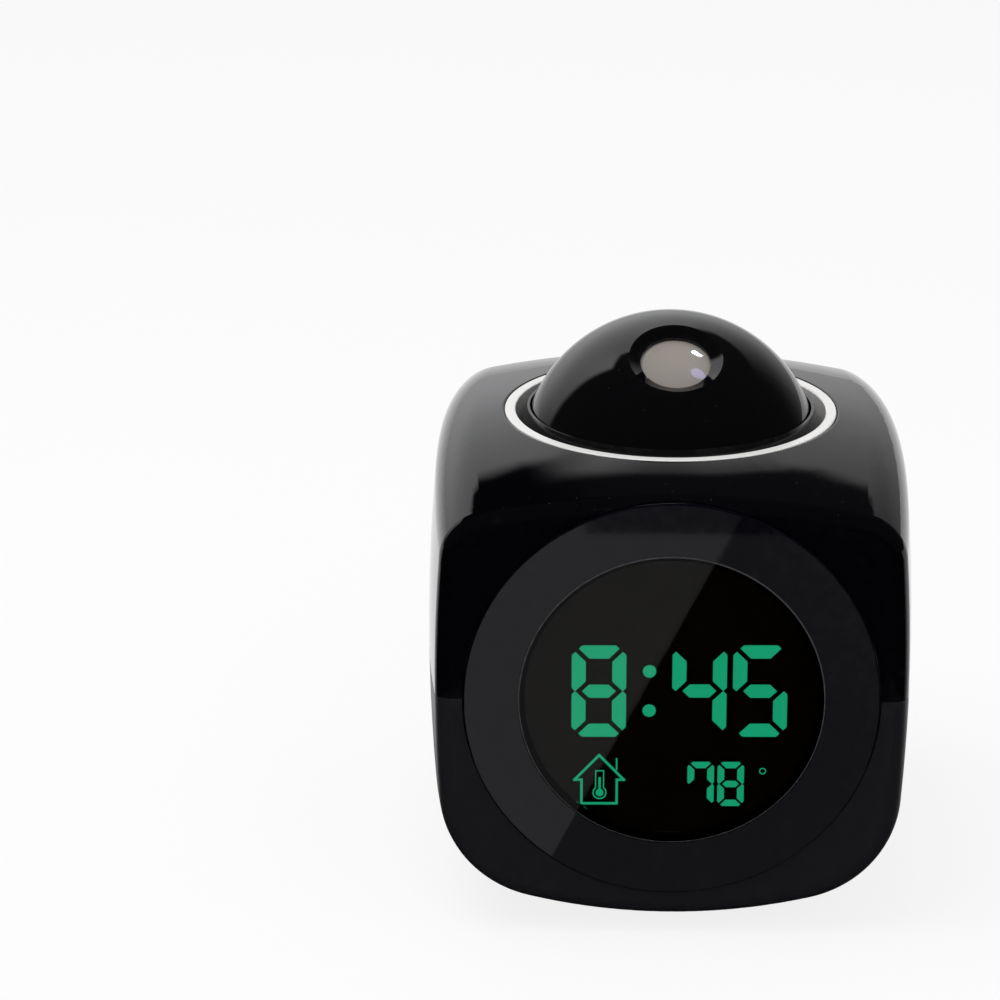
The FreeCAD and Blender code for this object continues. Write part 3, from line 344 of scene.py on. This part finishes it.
FINISHES = {
    "upper_shell": moulded_plastic(
        "shell_gloss_black", (0.0012, 0.001, 0.0018), 0.045,
        grain=1.2, depth=0.002, wear=0.12, dust=0.05, drift=0.03, **{"Specular IOR Level": 0.36}
    ),
    "lower_shell": moulded_plastic(
        "shell_satin_black", (0.0105, 0.0098, 0.0125), 0.36, grain=0.25, depth=0.012, wear=0.2, dust=0.08
    ),
    "front_bezel": moulded_plastic(
        "bezel_charcoal", (0.0009, 0.0008, 0.0028), 0.03,
        grain=0.9, depth=0.0015, wear=0.15, dust=0.03, drift=0.02
    ),
    "window_lens": clear_plastic("window_smoked", (0.62, 0.61, 0.6), 0.0, 1.28),
    "lcd_panel": display_glass(),
    "trim_ring": moulded_plastic(
        "ring_gloss_white", (0.85, 0.84, 0.82), 0.16,
        grain=0.8, depth=0.004, wear=0.1, wear_colour=(0.6, 0.58, 0.54), dust=0.1, drift=0.06
    ),
    "head_socket": moulded_plastic(
        "socket_gloss_black", (0.0042, 0.004, 0.0046), 0.14,
        grain=0.6, depth=0.004, wear=0.2, dust=0.05, drift=0.06
    ),
    "projector_ball": moulded_plastic(
        "ball_gloss_black", (0.0014, 0.0013, 0.0017), 0.05,
        grain=1.2, depth=0.002, wear=0.15, dust=0.05, drift=0.03
    ),
    "projector_lens": lens_glass(),
    "battery_door": moulded_plastic("door_satin_black", (0.0095, 0.009, 0.011), 0.4, grain=0.25, depth=0.014),
    "rubber_feet": moulded_plastic(
        "foot_rubber", (0.012, 0.012, 0.012), 0.75, grain=0.4, depth=0.05, dust=0.2
    ),
    "button_pad": moulded_plastic("pad_silicone", (0.25, 0.25, 0.24), 0.5, grain=0.5, depth=0.03),
    "zebra_strips": moulded_plastic("strip_silicone", (0.12, 0.1, 0.1), 0.6, grain=0.1, depth=0.05),
    "lcd_diffuser": moulded_plastic("film_frosted", (0.7, 0.7, 0.68), 0.6, grain=0.15, depth=0.01),
    "light_guide": clear_plastic("guide_acrylic", (0.93, 0.96, 0.95), 0.02, 1.49),
    "lcd_frame": moulded_plastic("frame_white", (0.55, 0.55, 0.52), 0.45, grain=0.3, depth=0.02),
    "board_parts": moulded_plastic("board_part_resin", (0.012, 0.012, 0.012), 0.3, grain=0.4, depth=0.03),
    "projection_film": clear_plastic("film_cell_glass", (0.35, 0.35, 0.4), 0.05, 1.5),
    "projector_led": clear_plastic("emitter_red", (0.85, 0.08, 0.06), 0.1, 1.5),
    "speaker_cone": moulded_plastic("cone_film", (0.03, 0.03, 0.03), 0.55, grain=0.4, depth=0.03),
    "aaa_cells": cell_wrap(),
}
BLACK_MOULDING = moulded_plastic("inner_black_moulding", (0.012, 0.012, 0.013), 0.45, grain=0.3, depth=0.02)
KEY_PLASTIC = moulded_plastic(
    "key_satin_black", (0.014, 0.0135, 0.015), 0.33, grain=0.22, depth=0.012, wear=0.4
)
ZINC_STEEL = drawn_metal("zinc_plated_steel", (0.5, 0.49, 0.46), 0.28)
SPRING_STEEL = drawn_metal("spring_steel", (0.42, 0.41, 0.4), 0.2, line=0.06)
NICKEL = drawn_metal("nickel_plate", (0.6, 0.57, 0.5), 0.18)
SOLDER_MASK = circuit_board()
SCREWS = ("case_screws", "frame_screws", "board_screws", "bracket_screws", "button_screws")
SHARED_FINISHES = (
    (BLACK_MOULDING, ("head_bracket", "lens_ring", "projector_barrel", "film_holder", "press_switch")),
    (KEY_PLASTIC, ("mode_button", "set_button", "up_button", "down_button")),
    (ZINC_STEEL, (*SCREWS, "speaker_basket")),
    (SPRING_STEEL, ("head_springs", "pivot_pins", "speaker_magnet")),
    (NICKEL, ("contact_plates", "contact_springs")),
    (SOLDER_MASK, ("main_board", "switch_board", "button_board", "led_board")),
)
for finish, names in SHARED_FINISHES:
    for name in names:
        FINISHES[name] = finish

SHARP_ANGLE = math.radians(28)
for name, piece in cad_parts.items():
    piece.data.materials.clear()
    piece.data.materials.append(FINISHES[name])
    for face in piece.data.polygons:
        face.use_smooth = True
        face.material_index = 0
    piece.data.set_sharp_from_angle(angle=SHARP_ANGLE)


def second_finish(name, finish, lowest, highest):
    """Another material on the faces of a piece whose forward lean, the normal's Y, is between two limits."""
    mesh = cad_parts[name].data
    mesh.materials.append(finish)
    for face in mesh.polygons:
        if lowest < face.normal.y < highest:
            face.material_index = 1


# The window lens's chamfered rim gets a lighter grey than the glass: a painted highlight, the thin light line
# round the window's edge
WINDOW_RIM_HIGHLIGHT = moulded_plastic(
    "window_rim_painted_highlight", (0.075, 0.074, 0.078), 0.25, grain=0.3, depth=0.004, wear=0.3, dust=0.05
)
second_finish("window_lens", WINDOW_RIM_HIGHLIGHT, -0.97, -0.2)
second_finish("lcd_frame", BLACK_MOULDING, -math.inf, -0.9)


# Lit display, in mm from its centre; DISPLAY_RISE is how much its lines climb to the right, as in the photo
DIGIT_WIDTH = 9.3
DIGIT_HEIGHT = 16.73
DISPLAY_RISE = 0.0066
STROKE = 2.4
TIP_INSET = 0.6
SEGMENT_GAP = 0.59
SEGMENTS_LIT = {"4": "bcfg", "5": "acdfg", "7": "abcf", "8": "abcdefg"}
PLATE_LIFT = 0.03
PLATE_THICKNESS = 0.05

# Piece, figure, left edge and top
DIGITS = (
    ("hour_digit", "8", -17.0, 9.05),
    ("tens_digit", "4", 0.12, 9.12),
    ("minute_digit", "5", 10.45, 9.1),
)
COLON_X = -3.75
COLON_HEIGHTS = (4.33, -2.86)
COLON_RADIUS = 1.14

# Piece, figure and left edge
SMALL_DIGITS = (("degrees_tens", "7", 2.95), ("degrees_ones", "8", 8.1))
SMALL_TOP = -12.3
SMALL_SHARE = 0.49
DEGREE_RING = {"x": 15.82, "z": -14.0, "outer": 0.6, "inner": 0.42}

# House: the roof's top as (x, z), the eaves and walls as (left, right), and the chimney's two ends
ROOF_TOP = (-12.2, -11.1)
EAVES = (-16.4, -7.95)
WALLS = (-15.2, -9.15)
EAVE_HEIGHT = -15.65
GROUND = -20.05
HOUSE_LINE = 0.42
CHIMNEY = [(-9.2, -11.8), (-9.2, -13.7)]
CHIMNEY_LINE = 0.28

# Thermometer in the house
BULB = (-12.1, -18.05)
BULB_FILL = 0.68
BULB_RING = {"outer": 1.22, "inner": 1.0, "start": 128.0, "stop": 412.0}
TUBE_HALF_WIDTH = 0.68
TUBE_FOOT = 1.0
TUBE_TOP = -14.0
TUBE_LINE = 0.2
COLUMN_TOP = -15.4
COLUMN_LINE = 0.42


def segment_shapes():
    """Outlines of the seven segments, a to g, from the digit's top left corner, downwards, in mm."""
    w, h, s, a, g = DIGIT_WIDTH, DIGIT_HEIGHT, STROKE, TIP_INSET, SEGMENT_GAP
    half = h / 2
    top = [(a + g, a), (2 * a + g, 0), (w - 2 * a - g, 0), (w - a - g, a), (w - s - g, s), (s + g, s)]
    upper_left = [(a, a + g), (s, s + g), (s, half - s + a), (a, half), (0, half - a), (0, 2 * a + g)]
    tip = a + 2 * g
    bar = [(tip, half), (tip + s / 2, half - s / 2), (w - tip - s / 2, half - s / 2), (w - tip, half)]
    bar += [(w - tip - s / 2, half + s / 2), (tip + s / 2, half + s / 2)]
    upper_right = [(w - x, y) for x, y in upper_left]
    return {
        "a": top,
        "b": upper_right,
        "c": [(x, h - y) for x, y in upper_right],
        "d": [(x, h - y) for x, y in top],
        "e": [(x, h - y) for x, y in upper_left],
        "f": upper_left,
        "g": bar,
    }


SEGMENTS = segment_shapes()


def disc_outline(x, z, radius, steps=32):
    turn = 2 * math.pi / steps
    return [(x + radius * math.cos(i * turn), z + radius * math.sin(i * turn)) for i in range(steps)]


def display_point(x, y, z):
    """A point at x and z on the display, in mm, and at y from the front, in metres."""
    return (x * MM, y, DISPLAY_HEIGHT + (z + DISPLAY_RISE * x) * MM)


def lit_piece(name, outlines, finish):
    """Thin lit plates on the display's front; outlines are closed loops of (x, z) from its centre in mm."""
    mesh = bpy.data.meshes.new(name)
    work = bmesh.new()
    front_y = PANEL_FRONT - (PLATE_LIFT + PLATE_THICKNESS) * MM
    back_y = PANEL_FRONT - PLATE_LIFT * MM
    for loop in outlines:
        front = [work.verts.new(display_point(x, front_y, z)) for x, z in loop]
        back = [work.verts.new(display_point(x, back_y, z)) for x, z in loop]
        work.faces.new(front)
        work.faces.new(list(reversed(back)))
        for i in range(len(loop)):
            j = (i + 1) % len(loop)
            work.faces.new((front[j], front[i], back[i], back[j]))
    bmesh.ops.recalc_face_normals(work, faces=work.faces)
    work.to_mesh(mesh)
    work.free()
    piece = bpy.data.objects.new(name, mesh)
    bpy.context.scene.collection.objects.link(piece)
    mesh.materials.append(finish)
    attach(piece, "case")


def digit_outlines(figure, left, top, share=1.0):
    return [
        [(left + x * share, top - y * share) for x, y in SEGMENTS[segment]]
        for segment in SEGMENTS_LIT[figure]
    ]


def stroke_outlines(points, width):
    """A flat line of even width through the points, one plate per run with square ends."""
    plates = []
    for (x0, z0), (x1, z1) in zip(points, points[1:]):
        length = math.hypot(x1 - x0, z1 - z0)
        ux, uz = (x1 - x0) / length * width / 2, (z1 - z0) / length * width / 2
        plates.append(
            [
                (x0 - ux - uz, z0 - uz + ux),
                (x0 - ux + uz, z0 - uz - ux),
                (x1 + ux + uz, z1 + uz - ux),
                (x1 + ux - uz, z1 + uz + ux),
            ]
        )
    return plates


def ring_outlines(x, z, outer, inner, start=0.0, stop=360.0, steps=36):
    """A flat ring or part of one, as short plates; start and stop are in degrees."""
    plates = []
    step = math.radians(stop - start) / steps
    for i in range(steps):
        a, b = math.radians(start) + i * step, math.radians(start) + (i + 1) * step
        plates.append(
            [
                (x + outer * math.cos(a), z + outer * math.sin(a)),
                (x + outer * math.cos(b), z + outer * math.sin(b)),
                (x + inner * math.cos(b), z + inner * math.sin(b)),
                (x + inner * math.cos(a), z + inner * math.sin(a)),
            ]
        )
    return plates


def house_outlines():
    """The outline of a house with a chimney."""
    (eave_left, eave_right), (wall_left, wall_right) = EAVES, WALLS
    outline = [(wall_left, EAVE_HEIGHT), (eave_left, EAVE_HEIGHT), ROOF_TOP]
    outline += [(eave_right, EAVE_HEIGHT), (wall_right, EAVE_HEIGHT)]
    outline += [(wall_right, GROUND), (wall_left, GROUND), (wall_left, EAVE_HEIGHT)]
    return stroke_outlines(outline, HOUSE_LINE) + stroke_outlines(CHIMNEY, CHIMNEY_LINE)


def thermometer_outlines():
    """A tube open at its foot, on a round bulb, with its column."""
    left, right = BULB[0] - TUBE_HALF_WIDTH, BULB[0] + TUBE_HALF_WIDTH
    foot = BULB[1] + TUBE_FOOT
    gauge = stroke_outlines([(left, foot), (left, TUBE_TOP), (right, TUBE_TOP), (right, foot)], TUBE_LINE)
    gauge += ring_outlines(*BULB, **BULB_RING)
    gauge += [disc_outline(*BULB, BULB_FILL)]
    return gauge + stroke_outlines([BULB, (BULB[0], COLUMN_TOP)], COLUMN_LINE)


def light_display():
    green = lit_segments("segment_green", (0.008, 0.5, 0.24), 1.0)
    for name, figure, left, top in DIGITS:
        lit_piece(name, digit_outlines(figure, left, top), green)
    lit_piece("colon_dots", [disc_outline(COLON_X, z, COLON_RADIUS) for z in COLON_HEIGHTS], green)
    for name, figure, left in SMALL_DIGITS:
        lit_piece(name, digit_outlines(figure, left, SMALL_TOP, SMALL_SHARE), green)
    lit_piece("degree_ring", ring_outlines(**DEGREE_RING), green)
    lit_piece("house_outline", house_outlines(), green)
    lit_piece("thermometer", thermometer_outlines(), green)


light_display()


# Studio floor: its colours, its own white light and how much of that is seen, and seen in reflections
FLOOR_HALF = 4.0
FLOOR_COLOUR = (0.9, 0.9, 0.905)
FLOOR_SHADE = (0.885, 0.885, 0.89)
FLOOR_WHITE = 1.0
FLOOR_GLOW_SHARE = 0.84
FLOOR_MIRRORED = 0.55

# Dark table in front of the clock, seen in reflections alone: its front edge and where its rear edge
# fades out, both along Y in metres, and its turn in degrees
FLAG_FRONT = -4.0
FLAG_FADE = (-0.035, 0.06)
FLAG_TURN = -9.0

# Cards on the table, in metres. Corners are (x, y), and the slanting edge of the sheen runs from far to
# near. SHADE_LEFT and DARK_RIGHT are x at the far edge and at the shade's corner
SHEEN_FAR = (0.0290, -0.300)
SHEEN_NEAR = (-0.0226, -0.0641)
SHEEN_LEFT = -0.07
SHADE_CORNER = (0.0172, -0.246)
SHADE_LEFT = (-0.018, -0.0145)
DARK_RIGHT = (0.055, 0.038)
TABLE_SIDE = 0.07
TABLE_REAR = -0.045

# Heights above the floor and strengths
FLAG_HEIGHT = 0.0004
TABLE_HEIGHT = 0.0006
SHEEN_HEIGHT = 0.0008
SHADE_HEIGHT = 0.001
TABLE_STRENGTH = 0.15
SHEEN_STRENGTH = 0.47
SHADE_STRENGTH = 0.14
DARK_STRENGTH = 0.02

# Soft lamps: name, place, aim, size in m, watts
SOFT_LAMPS = (
    ("overhead_lamp", (-0.25, -0.1, 0.9), (0, 0, 0.03), 0.7, 4.2),
    ("fill_lamp", (0.35, -0.8, 0.75), (0, 0, 0.05), 0.6, 1.2),
)

# Small lamps that only the lens mirrors: name, azimuth and elevation, size in m, watts, colour
LENS_SPARKS = (
    ("lens_spark", math.radians(27.0), math.radians(47.5), 0.07, 0.4, (1.0, 1.0, 1.0)),
    ("lens_glint", math.radians(80.0), math.radians(65.5), 0.12, 0.14, (0.5, 0.47, 1.0)),
)
SPARK_DISTANCE = 0.5


def smooth_step(tree, value, start, stop, low=0.0, high=1.0):
    ends = {"Value": value, "From Min": start, "From Max": stop, "To Min": low, "To Max": high}
    return node(tree, "ShaderNodeMapRange", ends, interpolation_type="SMOOTHSTEP").outputs["Result"]


def mix_shaders(tree, mask, below, above):
    """One shader where the mask is 0 and another where it is 1."""
    mix = node(tree, "ShaderNodeMixShader", {0: mask})
    tree.links.new(below.outputs[0], mix.inputs[1])
    tree.links.new(above.outputs[0], mix.inputs[2])
    return mix


def white_glow(tree, strength):
    return node(tree, "ShaderNodeEmission", {"Color": (1.0, 1.0, 1.0, 1.0), "Strength": strength})


def rectangle(left, right, front, rear):
    return [(left, front), (right, front), (right, rear), (left, rear)]


def stage_sheet(name, corners, material, faces=None):
    """A sheet of the studio: one flat face round its corners, or the faces that are given."""
    mesh = bpy.data.meshes.new(name)
    mesh.from_pydata([Vector(c) for c in corners], [], faces or [tuple(range(len(corners)))])
    sheet = bpy.data.objects.new(name, mesh)
    bpy.context.scene.collection.objects.link(sheet)
    mesh.materials.append(material)
    return sheet


def mirrored_sheet(name, corners, material, seen_by=None, faces=None):
    """A sheet that shows in reflections alone, and where asked in those of a few pieces alone."""
    sheet = stage_sheet(name, corners, material, faces)
    sheet.visible_camera = False
    sheet.visible_diffuse = False
    sheet.visible_shadow = False
    if seen_by:
        sheet.light_linking.receiver_collection = seen_by
    return sheet


def table_sheet(name, outline, height, material, seen_by=None):
    return mirrored_sheet(name, [(x, y, height) for x, y in outline], material, seen_by)


def floor_paper():
    """White paper that keeps a soft shadow: part of what is seen of it is its own light."""
    material, tree, shader = blank_material("floor_paper")
    surface = use_group(tree, GRAIN, Grain_size_mm=1.0, Drift_size_mm=400.0)
    drift = maths(tree, "ADD", 0.5, surface.outputs["Drift"])
    tree.links.new(blend_colour(tree, drift, FLOOR_COLOUR, FLOOR_SHADE), shader.inputs["Base Color"])
    set_shader(shader, {"Roughness": 0.8, "Specular IOR Level": 0.1})
    rays = node(tree, "ShaderNodeLightPath")
    mirrored = maths(tree, "MULTIPLY", rays.outputs["Is Glossy Ray"], FLOOR_MIRRORED)
    seen = maths(tree, "ADD", rays.outputs["Is Camera Ray"], mirrored, clamp=True)
    seen = maths(tree, "ADD", seen, rays.outputs["Is Transmission Ray"], clamp=True)
    share = maths(tree, "MULTIPLY", seen, FLOOR_GLOW_SHARE)
    paper = mix_shaders(tree, share, shader, white_glow(tree, FLOOR_WHITE))
    tree.links.new(paper.outputs[0], tree.nodes["Material Output"].inputs["Surface"])
    return material


def bare_material(name):
    """A material with no nodes, whose glow is left to the rays that meet it, which keeps noise low."""
    material = bpy.data.materials.new(name)
    material.use_nodes = True
    material.cycles.emission_sampling = "NONE"
    material.node_tree.nodes.clear()
    return material, material.node_tree


def card(name, strength, fade=None):
    """A glowing card, which may fade out towards the rear between two places along Y, in metres."""
    material, tree = bare_material(name)
    shown = white_glow(tree, strength)
    if fade:
        place = node(tree, "ShaderNodeSeparateXYZ", {0: object_place(tree)})
        faded = smooth_step(tree, place.outputs["Y"], *fade)
        shown = mix_shaders(tree, faded, shown, node(tree, "ShaderNodeBsdfTransparent"))
    target = node(tree, "ShaderNodeOutputMaterial")
    tree.links.new(shown.outputs[0], target.inputs["Surface"])
    return material


def area_lamp(name, place, aim, size, watts, mirrored):
    data = bpy.data.lights.new(name, "AREA")
    data.shape = "DISK"
    data.size = size
    data.energy = watts
    lamp = bpy.data.objects.new(name, data)
    lamp.location = place
    lamp.rotation_euler = (Vector(aim) - Vector(place)).to_track_quat("-Z", "Y").to_euler()
    lamp.visible_glossy = mirrored
    lamp.visible_camera = False
    bpy.context.scene.collection.objects.link(lamp)
    return lamp


def only_for(name, *nodes):
    """A collection of the pieces that a lamp or card is there for."""
    group = bpy.data.collections.new(name)
    for node_name in nodes:
        group.objects.link(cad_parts[node_name])
    return group


def lay_table():
    """The dark table in front of the clock and its cards, which the bezel and the window mirror."""
    far, near = SHEEN_FAR[1], SHADE_CORNER[1]
    flag = rectangle(-FLOOR_HALF, FLOOR_HALF, FLAG_FRONT, FLAG_FADE[1])
    table_flag = table_sheet("table_flag", flag, FLAG_HEIGHT, card("card_black", 0.0, FLAG_FADE))
    table_flag.rotation_euler.z = math.radians(FLAG_TURN)
    bezel_only = only_for("bezel_only", "front_bezel")
    disc_only = only_for("disc_only", "front_bezel", "window_lens")
    table = rectangle(-TABLE_SIDE, TABLE_SIDE, far, TABLE_REAR)
    table_sheet("table_card", table, TABLE_HEIGHT, card("card_dark_grey", TABLE_STRENGTH), bezel_only)
    sheen = [(SHEEN_LEFT, far), SHEEN_FAR, SHEEN_NEAR, (SHEEN_LEFT, SHEEN_NEAR[1])]
    table_sheet("sheen_card", sheen, SHEEN_HEIGHT, card("card_grey", SHEEN_STRENGTH), disc_only)
    shade = [(SHADE_LEFT[0], far), SHEEN_FAR, SHADE_CORNER, (SHADE_LEFT[1], near)]
    table_sheet("shade_card", shade, SHADE_HEIGHT, card("card_dim", SHADE_STRENGTH), disc_only)
    dark = [SHEEN_FAR, (DARK_RIGHT[0], far), (DARK_RIGHT[1], near), SHADE_CORNER]
    table_sheet("dark_card", dark, SHADE_HEIGHT, card("card_near_black", DARK_STRENGTH), disc_only)


def light_lens():
    """Two small lamps round the projector's lens, which put its highlights there."""
    lens_only = only_for("lens_only", "projector_lens")
    low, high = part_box("projector_lens")
    centre = (low + high) / 2
    for name, azimuth, elevation, size, watts, colour in LENS_SPARKS:
        level = math.cos(elevation)
        away = Vector((math.sin(azimuth) * level, math.cos(azimuth) * level, math.sin(elevation)))
        spark = area_lamp(name, centre + SPARK_DISTANCE * away, centre, size, watts, True)
        spark.data.color = colour
        spark.light_linking.receiver_collection = lens_only


def build_studio():
    """White floor, the table, two soft lamps and the lens's own lamps."""
    floor = [(x, y, 0.0) for x, y in rectangle(-FLOOR_HALF, FLOOR_HALF, -FLOOR_HALF, FLOOR_HALF)]
    stage_sheet("floor", floor, floor_paper())
    lay_table()
    for lamp in SOFT_LAMPS:
        area_lamp(*lamp, False)
    light_lens()


# The soft light that glossy faces mirror: directions in degrees, azimuth from the rear to the right.
# Each pair is where a change begins and ends
SOFT_LEFT_EDGE = (-67.0, -60.0)
SOFT_RIGHT_FALL = (-15.0, 62.0)
SOFT_TOP_FALL = (4.0, 14.0)
SOFT_TOP_RISE = (-29.0, -46.0)
SOFT_TOP_EDGE = (-2.0, 2.0)
SOFT_LEFT_FROM = (-30.0, -60.0)

# Height of its top edge at the left, in the middle and at the right, for the case and for the ball
WORLD_TOPS = (39.5, 39.5, 35.0)
HEAD_TOPS = (53.0, 60.0, 60.0)

# Its brightness, how that grows with height near the horizon and at the left, and that of the rest
SOFT_LEVEL = 0.95
SOFT_LOW = (-5.0, 14.0, 0.62, 1.0)
SOFT_LEFT_LOW = 0.36
SOFT_LEFT_RISE = 0.0225
DARK_STUDIO = 0.03

# The upper part of the soft light, a piece of a sphere in degrees and metres
HEAD_LIGHT_AZIMUTH = (-75.0, -3.0)
HEAD_LIGHT_HEIGHT = (32.0, 64.0)
HEAD_LIGHT_FROM = (33.5, 37.0)
HEAD_LIGHT_END = (-12.0, -4.0)
HEAD_LIGHT_STEPS = (36, 17)
HEAD_LIGHT_DISTANCE = 6.0

SKY_COLOUR = (0.98, 0.985, 1.0, 1.0)
SKY_SHOWN = 0.98
SKY_LIGHT = 0.55

CAMERA_PLACE = (-0.014977, -0.711171, 0.312604)
CAMERA_AIM = (-0.020005, 0.943956, -0.329465)
CAMERA_LENS = 152.52
CAMERA_SENSOR = 36.0
CAMERA_CLIP = (0.01, 20.0)


def direction_angles(tree, direction):
    """Azimuth from the rear to the right, and height, of a direction, in degrees."""
    way = node(tree, "ShaderNodeSeparateXYZ", {0: direction})
    azimuth = maths(tree, "DEGREES", maths(tree, "ARCTAN2", way.outputs["X"], way.outputs["Y"]))
    return azimuth, maths(tree, "DEGREES", maths(tree, "ARCSINE", way.outputs["Z"]))


def soft_light(tree, direction, top_left, top_middle, top_right):
    """How bright the mirrored surroundings are: one soft light behind the clock and to its left."""
    azimuth, elevation = direction_angles(tree, direction)
    top = smooth_step(tree, azimuth, *SOFT_TOP_FALL, top_middle, top_right)
    rise = smooth_step(tree, azimuth, *SOFT_TOP_RISE, 0.0, top_left - top_middle)
    top = maths(tree, "ADD", top, rise)
    below_top = smooth_step(tree, maths(tree, "SUBTRACT", top, elevation), *SOFT_TOP_EDGE)
    left_edge = smooth_step(tree, azimuth, *SOFT_LEFT_EDGE)
    sides = maths(tree, "MULTIPLY", left_edge, smooth_step(tree, azimuth, *SOFT_RIGHT_FALL, 1.0, 0.0))
    left_level = maths(tree, "ADD", SOFT_LEFT_LOW, maths(tree, "MULTIPLY", elevation, SOFT_LEFT_RISE))
    leftness = smooth_step(tree, azimuth, *SOFT_LEFT_FROM)
    dimmer = maths(tree, "MULTIPLY", leftness, maths(tree, "SUBTRACT", left_level, SOFT_LEVEL))
    level = maths(tree, "ADD", SOFT_LEVEL, dimmer)
    low = smooth_step(tree, elevation, *SOFT_LOW)
    within = maths(tree, "MULTIPLY", sides, below_top)
    shaped = maths(tree, "MULTIPLY", within, maths(tree, "MULTIPLY", level, low))
    return maths(tree, "ADD", DARK_STUDIO, shaped)


def head_light_mesh():
    """Corners and faces of the piece of a sphere, in columns from its left to its right."""
    (left, right), (bottom, top), (across, up) = HEAD_LIGHT_AZIMUTH, HEAD_LIGHT_HEIGHT, HEAD_LIGHT_STEPS
    corners, faces = [], []
    for i in range(across + 1):
        azimuth = math.radians(left + i * (right - left) / across)
        for j in range(up + 1):
            height = math.radians(bottom + j * (top - bottom) / up)
            level = HEAD_LIGHT_DISTANCE * math.cos(height)
            rise = HEAD_LIGHT_DISTANCE * math.sin(height)
            corners.append((level * math.sin(azimuth), level * math.cos(azimuth), rise))
    for i in range(across):
        for j in range(up):
            a = i * (up + 1) + j
            faces.append((a, a + 1, a + up + 2, a + up + 1))
    return corners, faces


def build_head_light():
    """The upper part of the soft light, which only the ball mirrors."""
    material, tree = bare_material("soft_light_upper")
    away = node(tree, "ShaderNodeVectorMath", {0: object_place(tree)}, operation="NORMALIZE").outputs[0]
    glow = node(tree, "ShaderNodeEmission", {"Strength": soft_light(tree, away, *HEAD_TOPS)})
    azimuth, elevation = direction_angles(tree, away)
    rise = smooth_step(tree, elevation, *HEAD_LIGHT_FROM)
    there = maths(tree, "MULTIPLY", rise, smooth_step(tree, azimuth, *HEAD_LIGHT_END, 1.0, 0.0))
    shown = mix_shaders(tree, there, node(tree, "ShaderNodeBsdfTransparent"), glow)
    tree.links.new(shown.outputs[0], node(tree, "ShaderNodeOutputMaterial").inputs["Surface"])
    corners, faces = head_light_mesh()
    mirrored_sheet("head_light", corners, material, only_for("ball_only", "projector_ball"), faces)


def build_world():
    """White to the camera, plain light on the object, and the soft light in its reflections."""
    world = bpy.data.worlds.new("pale_studio")
    bpy.context.scene.world = world
    world.use_nodes = True
    tree = world.node_tree
    tree.nodes.clear()
    rays = node(tree, "ShaderNodeLightPath")
    through = rays.outputs["Is Transmission Ray"]
    shown = maths(tree, "ADD", rays.outputs["Is Camera Ray"], through, clamp=True)
    plain = maths(tree, "ADD", SKY_LIGHT, maths(tree, "MULTIPLY", shown, SKY_SHOWN - SKY_LIGHT))
    mirrored = maths(tree, "MULTIPLY", rays.outputs["Is Glossy Ray"], maths(tree, "SUBTRACT", 1.0, through))
    lit = soft_light(tree, node(tree, "ShaderNodeTexCoord").outputs["Generated"], *WORLD_TOPS)
    change = maths(tree, "MULTIPLY", mirrored, maths(tree, "SUBTRACT", lit, plain))
    strength = maths(tree, "ADD", plain, change)
    sky = node(tree, "ShaderNodeBackground", {"Color": SKY_COLOUR, "Strength": strength})
    tree.links.new(sky.outputs[0], node(tree, "ShaderNodeOutputWorld").inputs["Surface"])


def build_camera():
    data = bpy.data.cameras.new("photo_camera")
    data.sensor_width = CAMERA_SENSOR
    data.lens = CAMERA_LENS
    data.clip_start, data.clip_end = CAMERA_CLIP
    camera = bpy.data.objects.new("photo_camera", data)
    camera.location = CAMERA_PLACE
    camera.rotation_euler = Vector(CAMERA_AIM).to_track_quat("-Z", "Y").to_euler()
    bpy.context.scene.collection.objects.link(camera)
    bpy.context.scene.camera = camera


build_studio()
build_head_light()
build_world()
build_camera()
bpy.context.scene.view_settings.view_transform = "Standard"
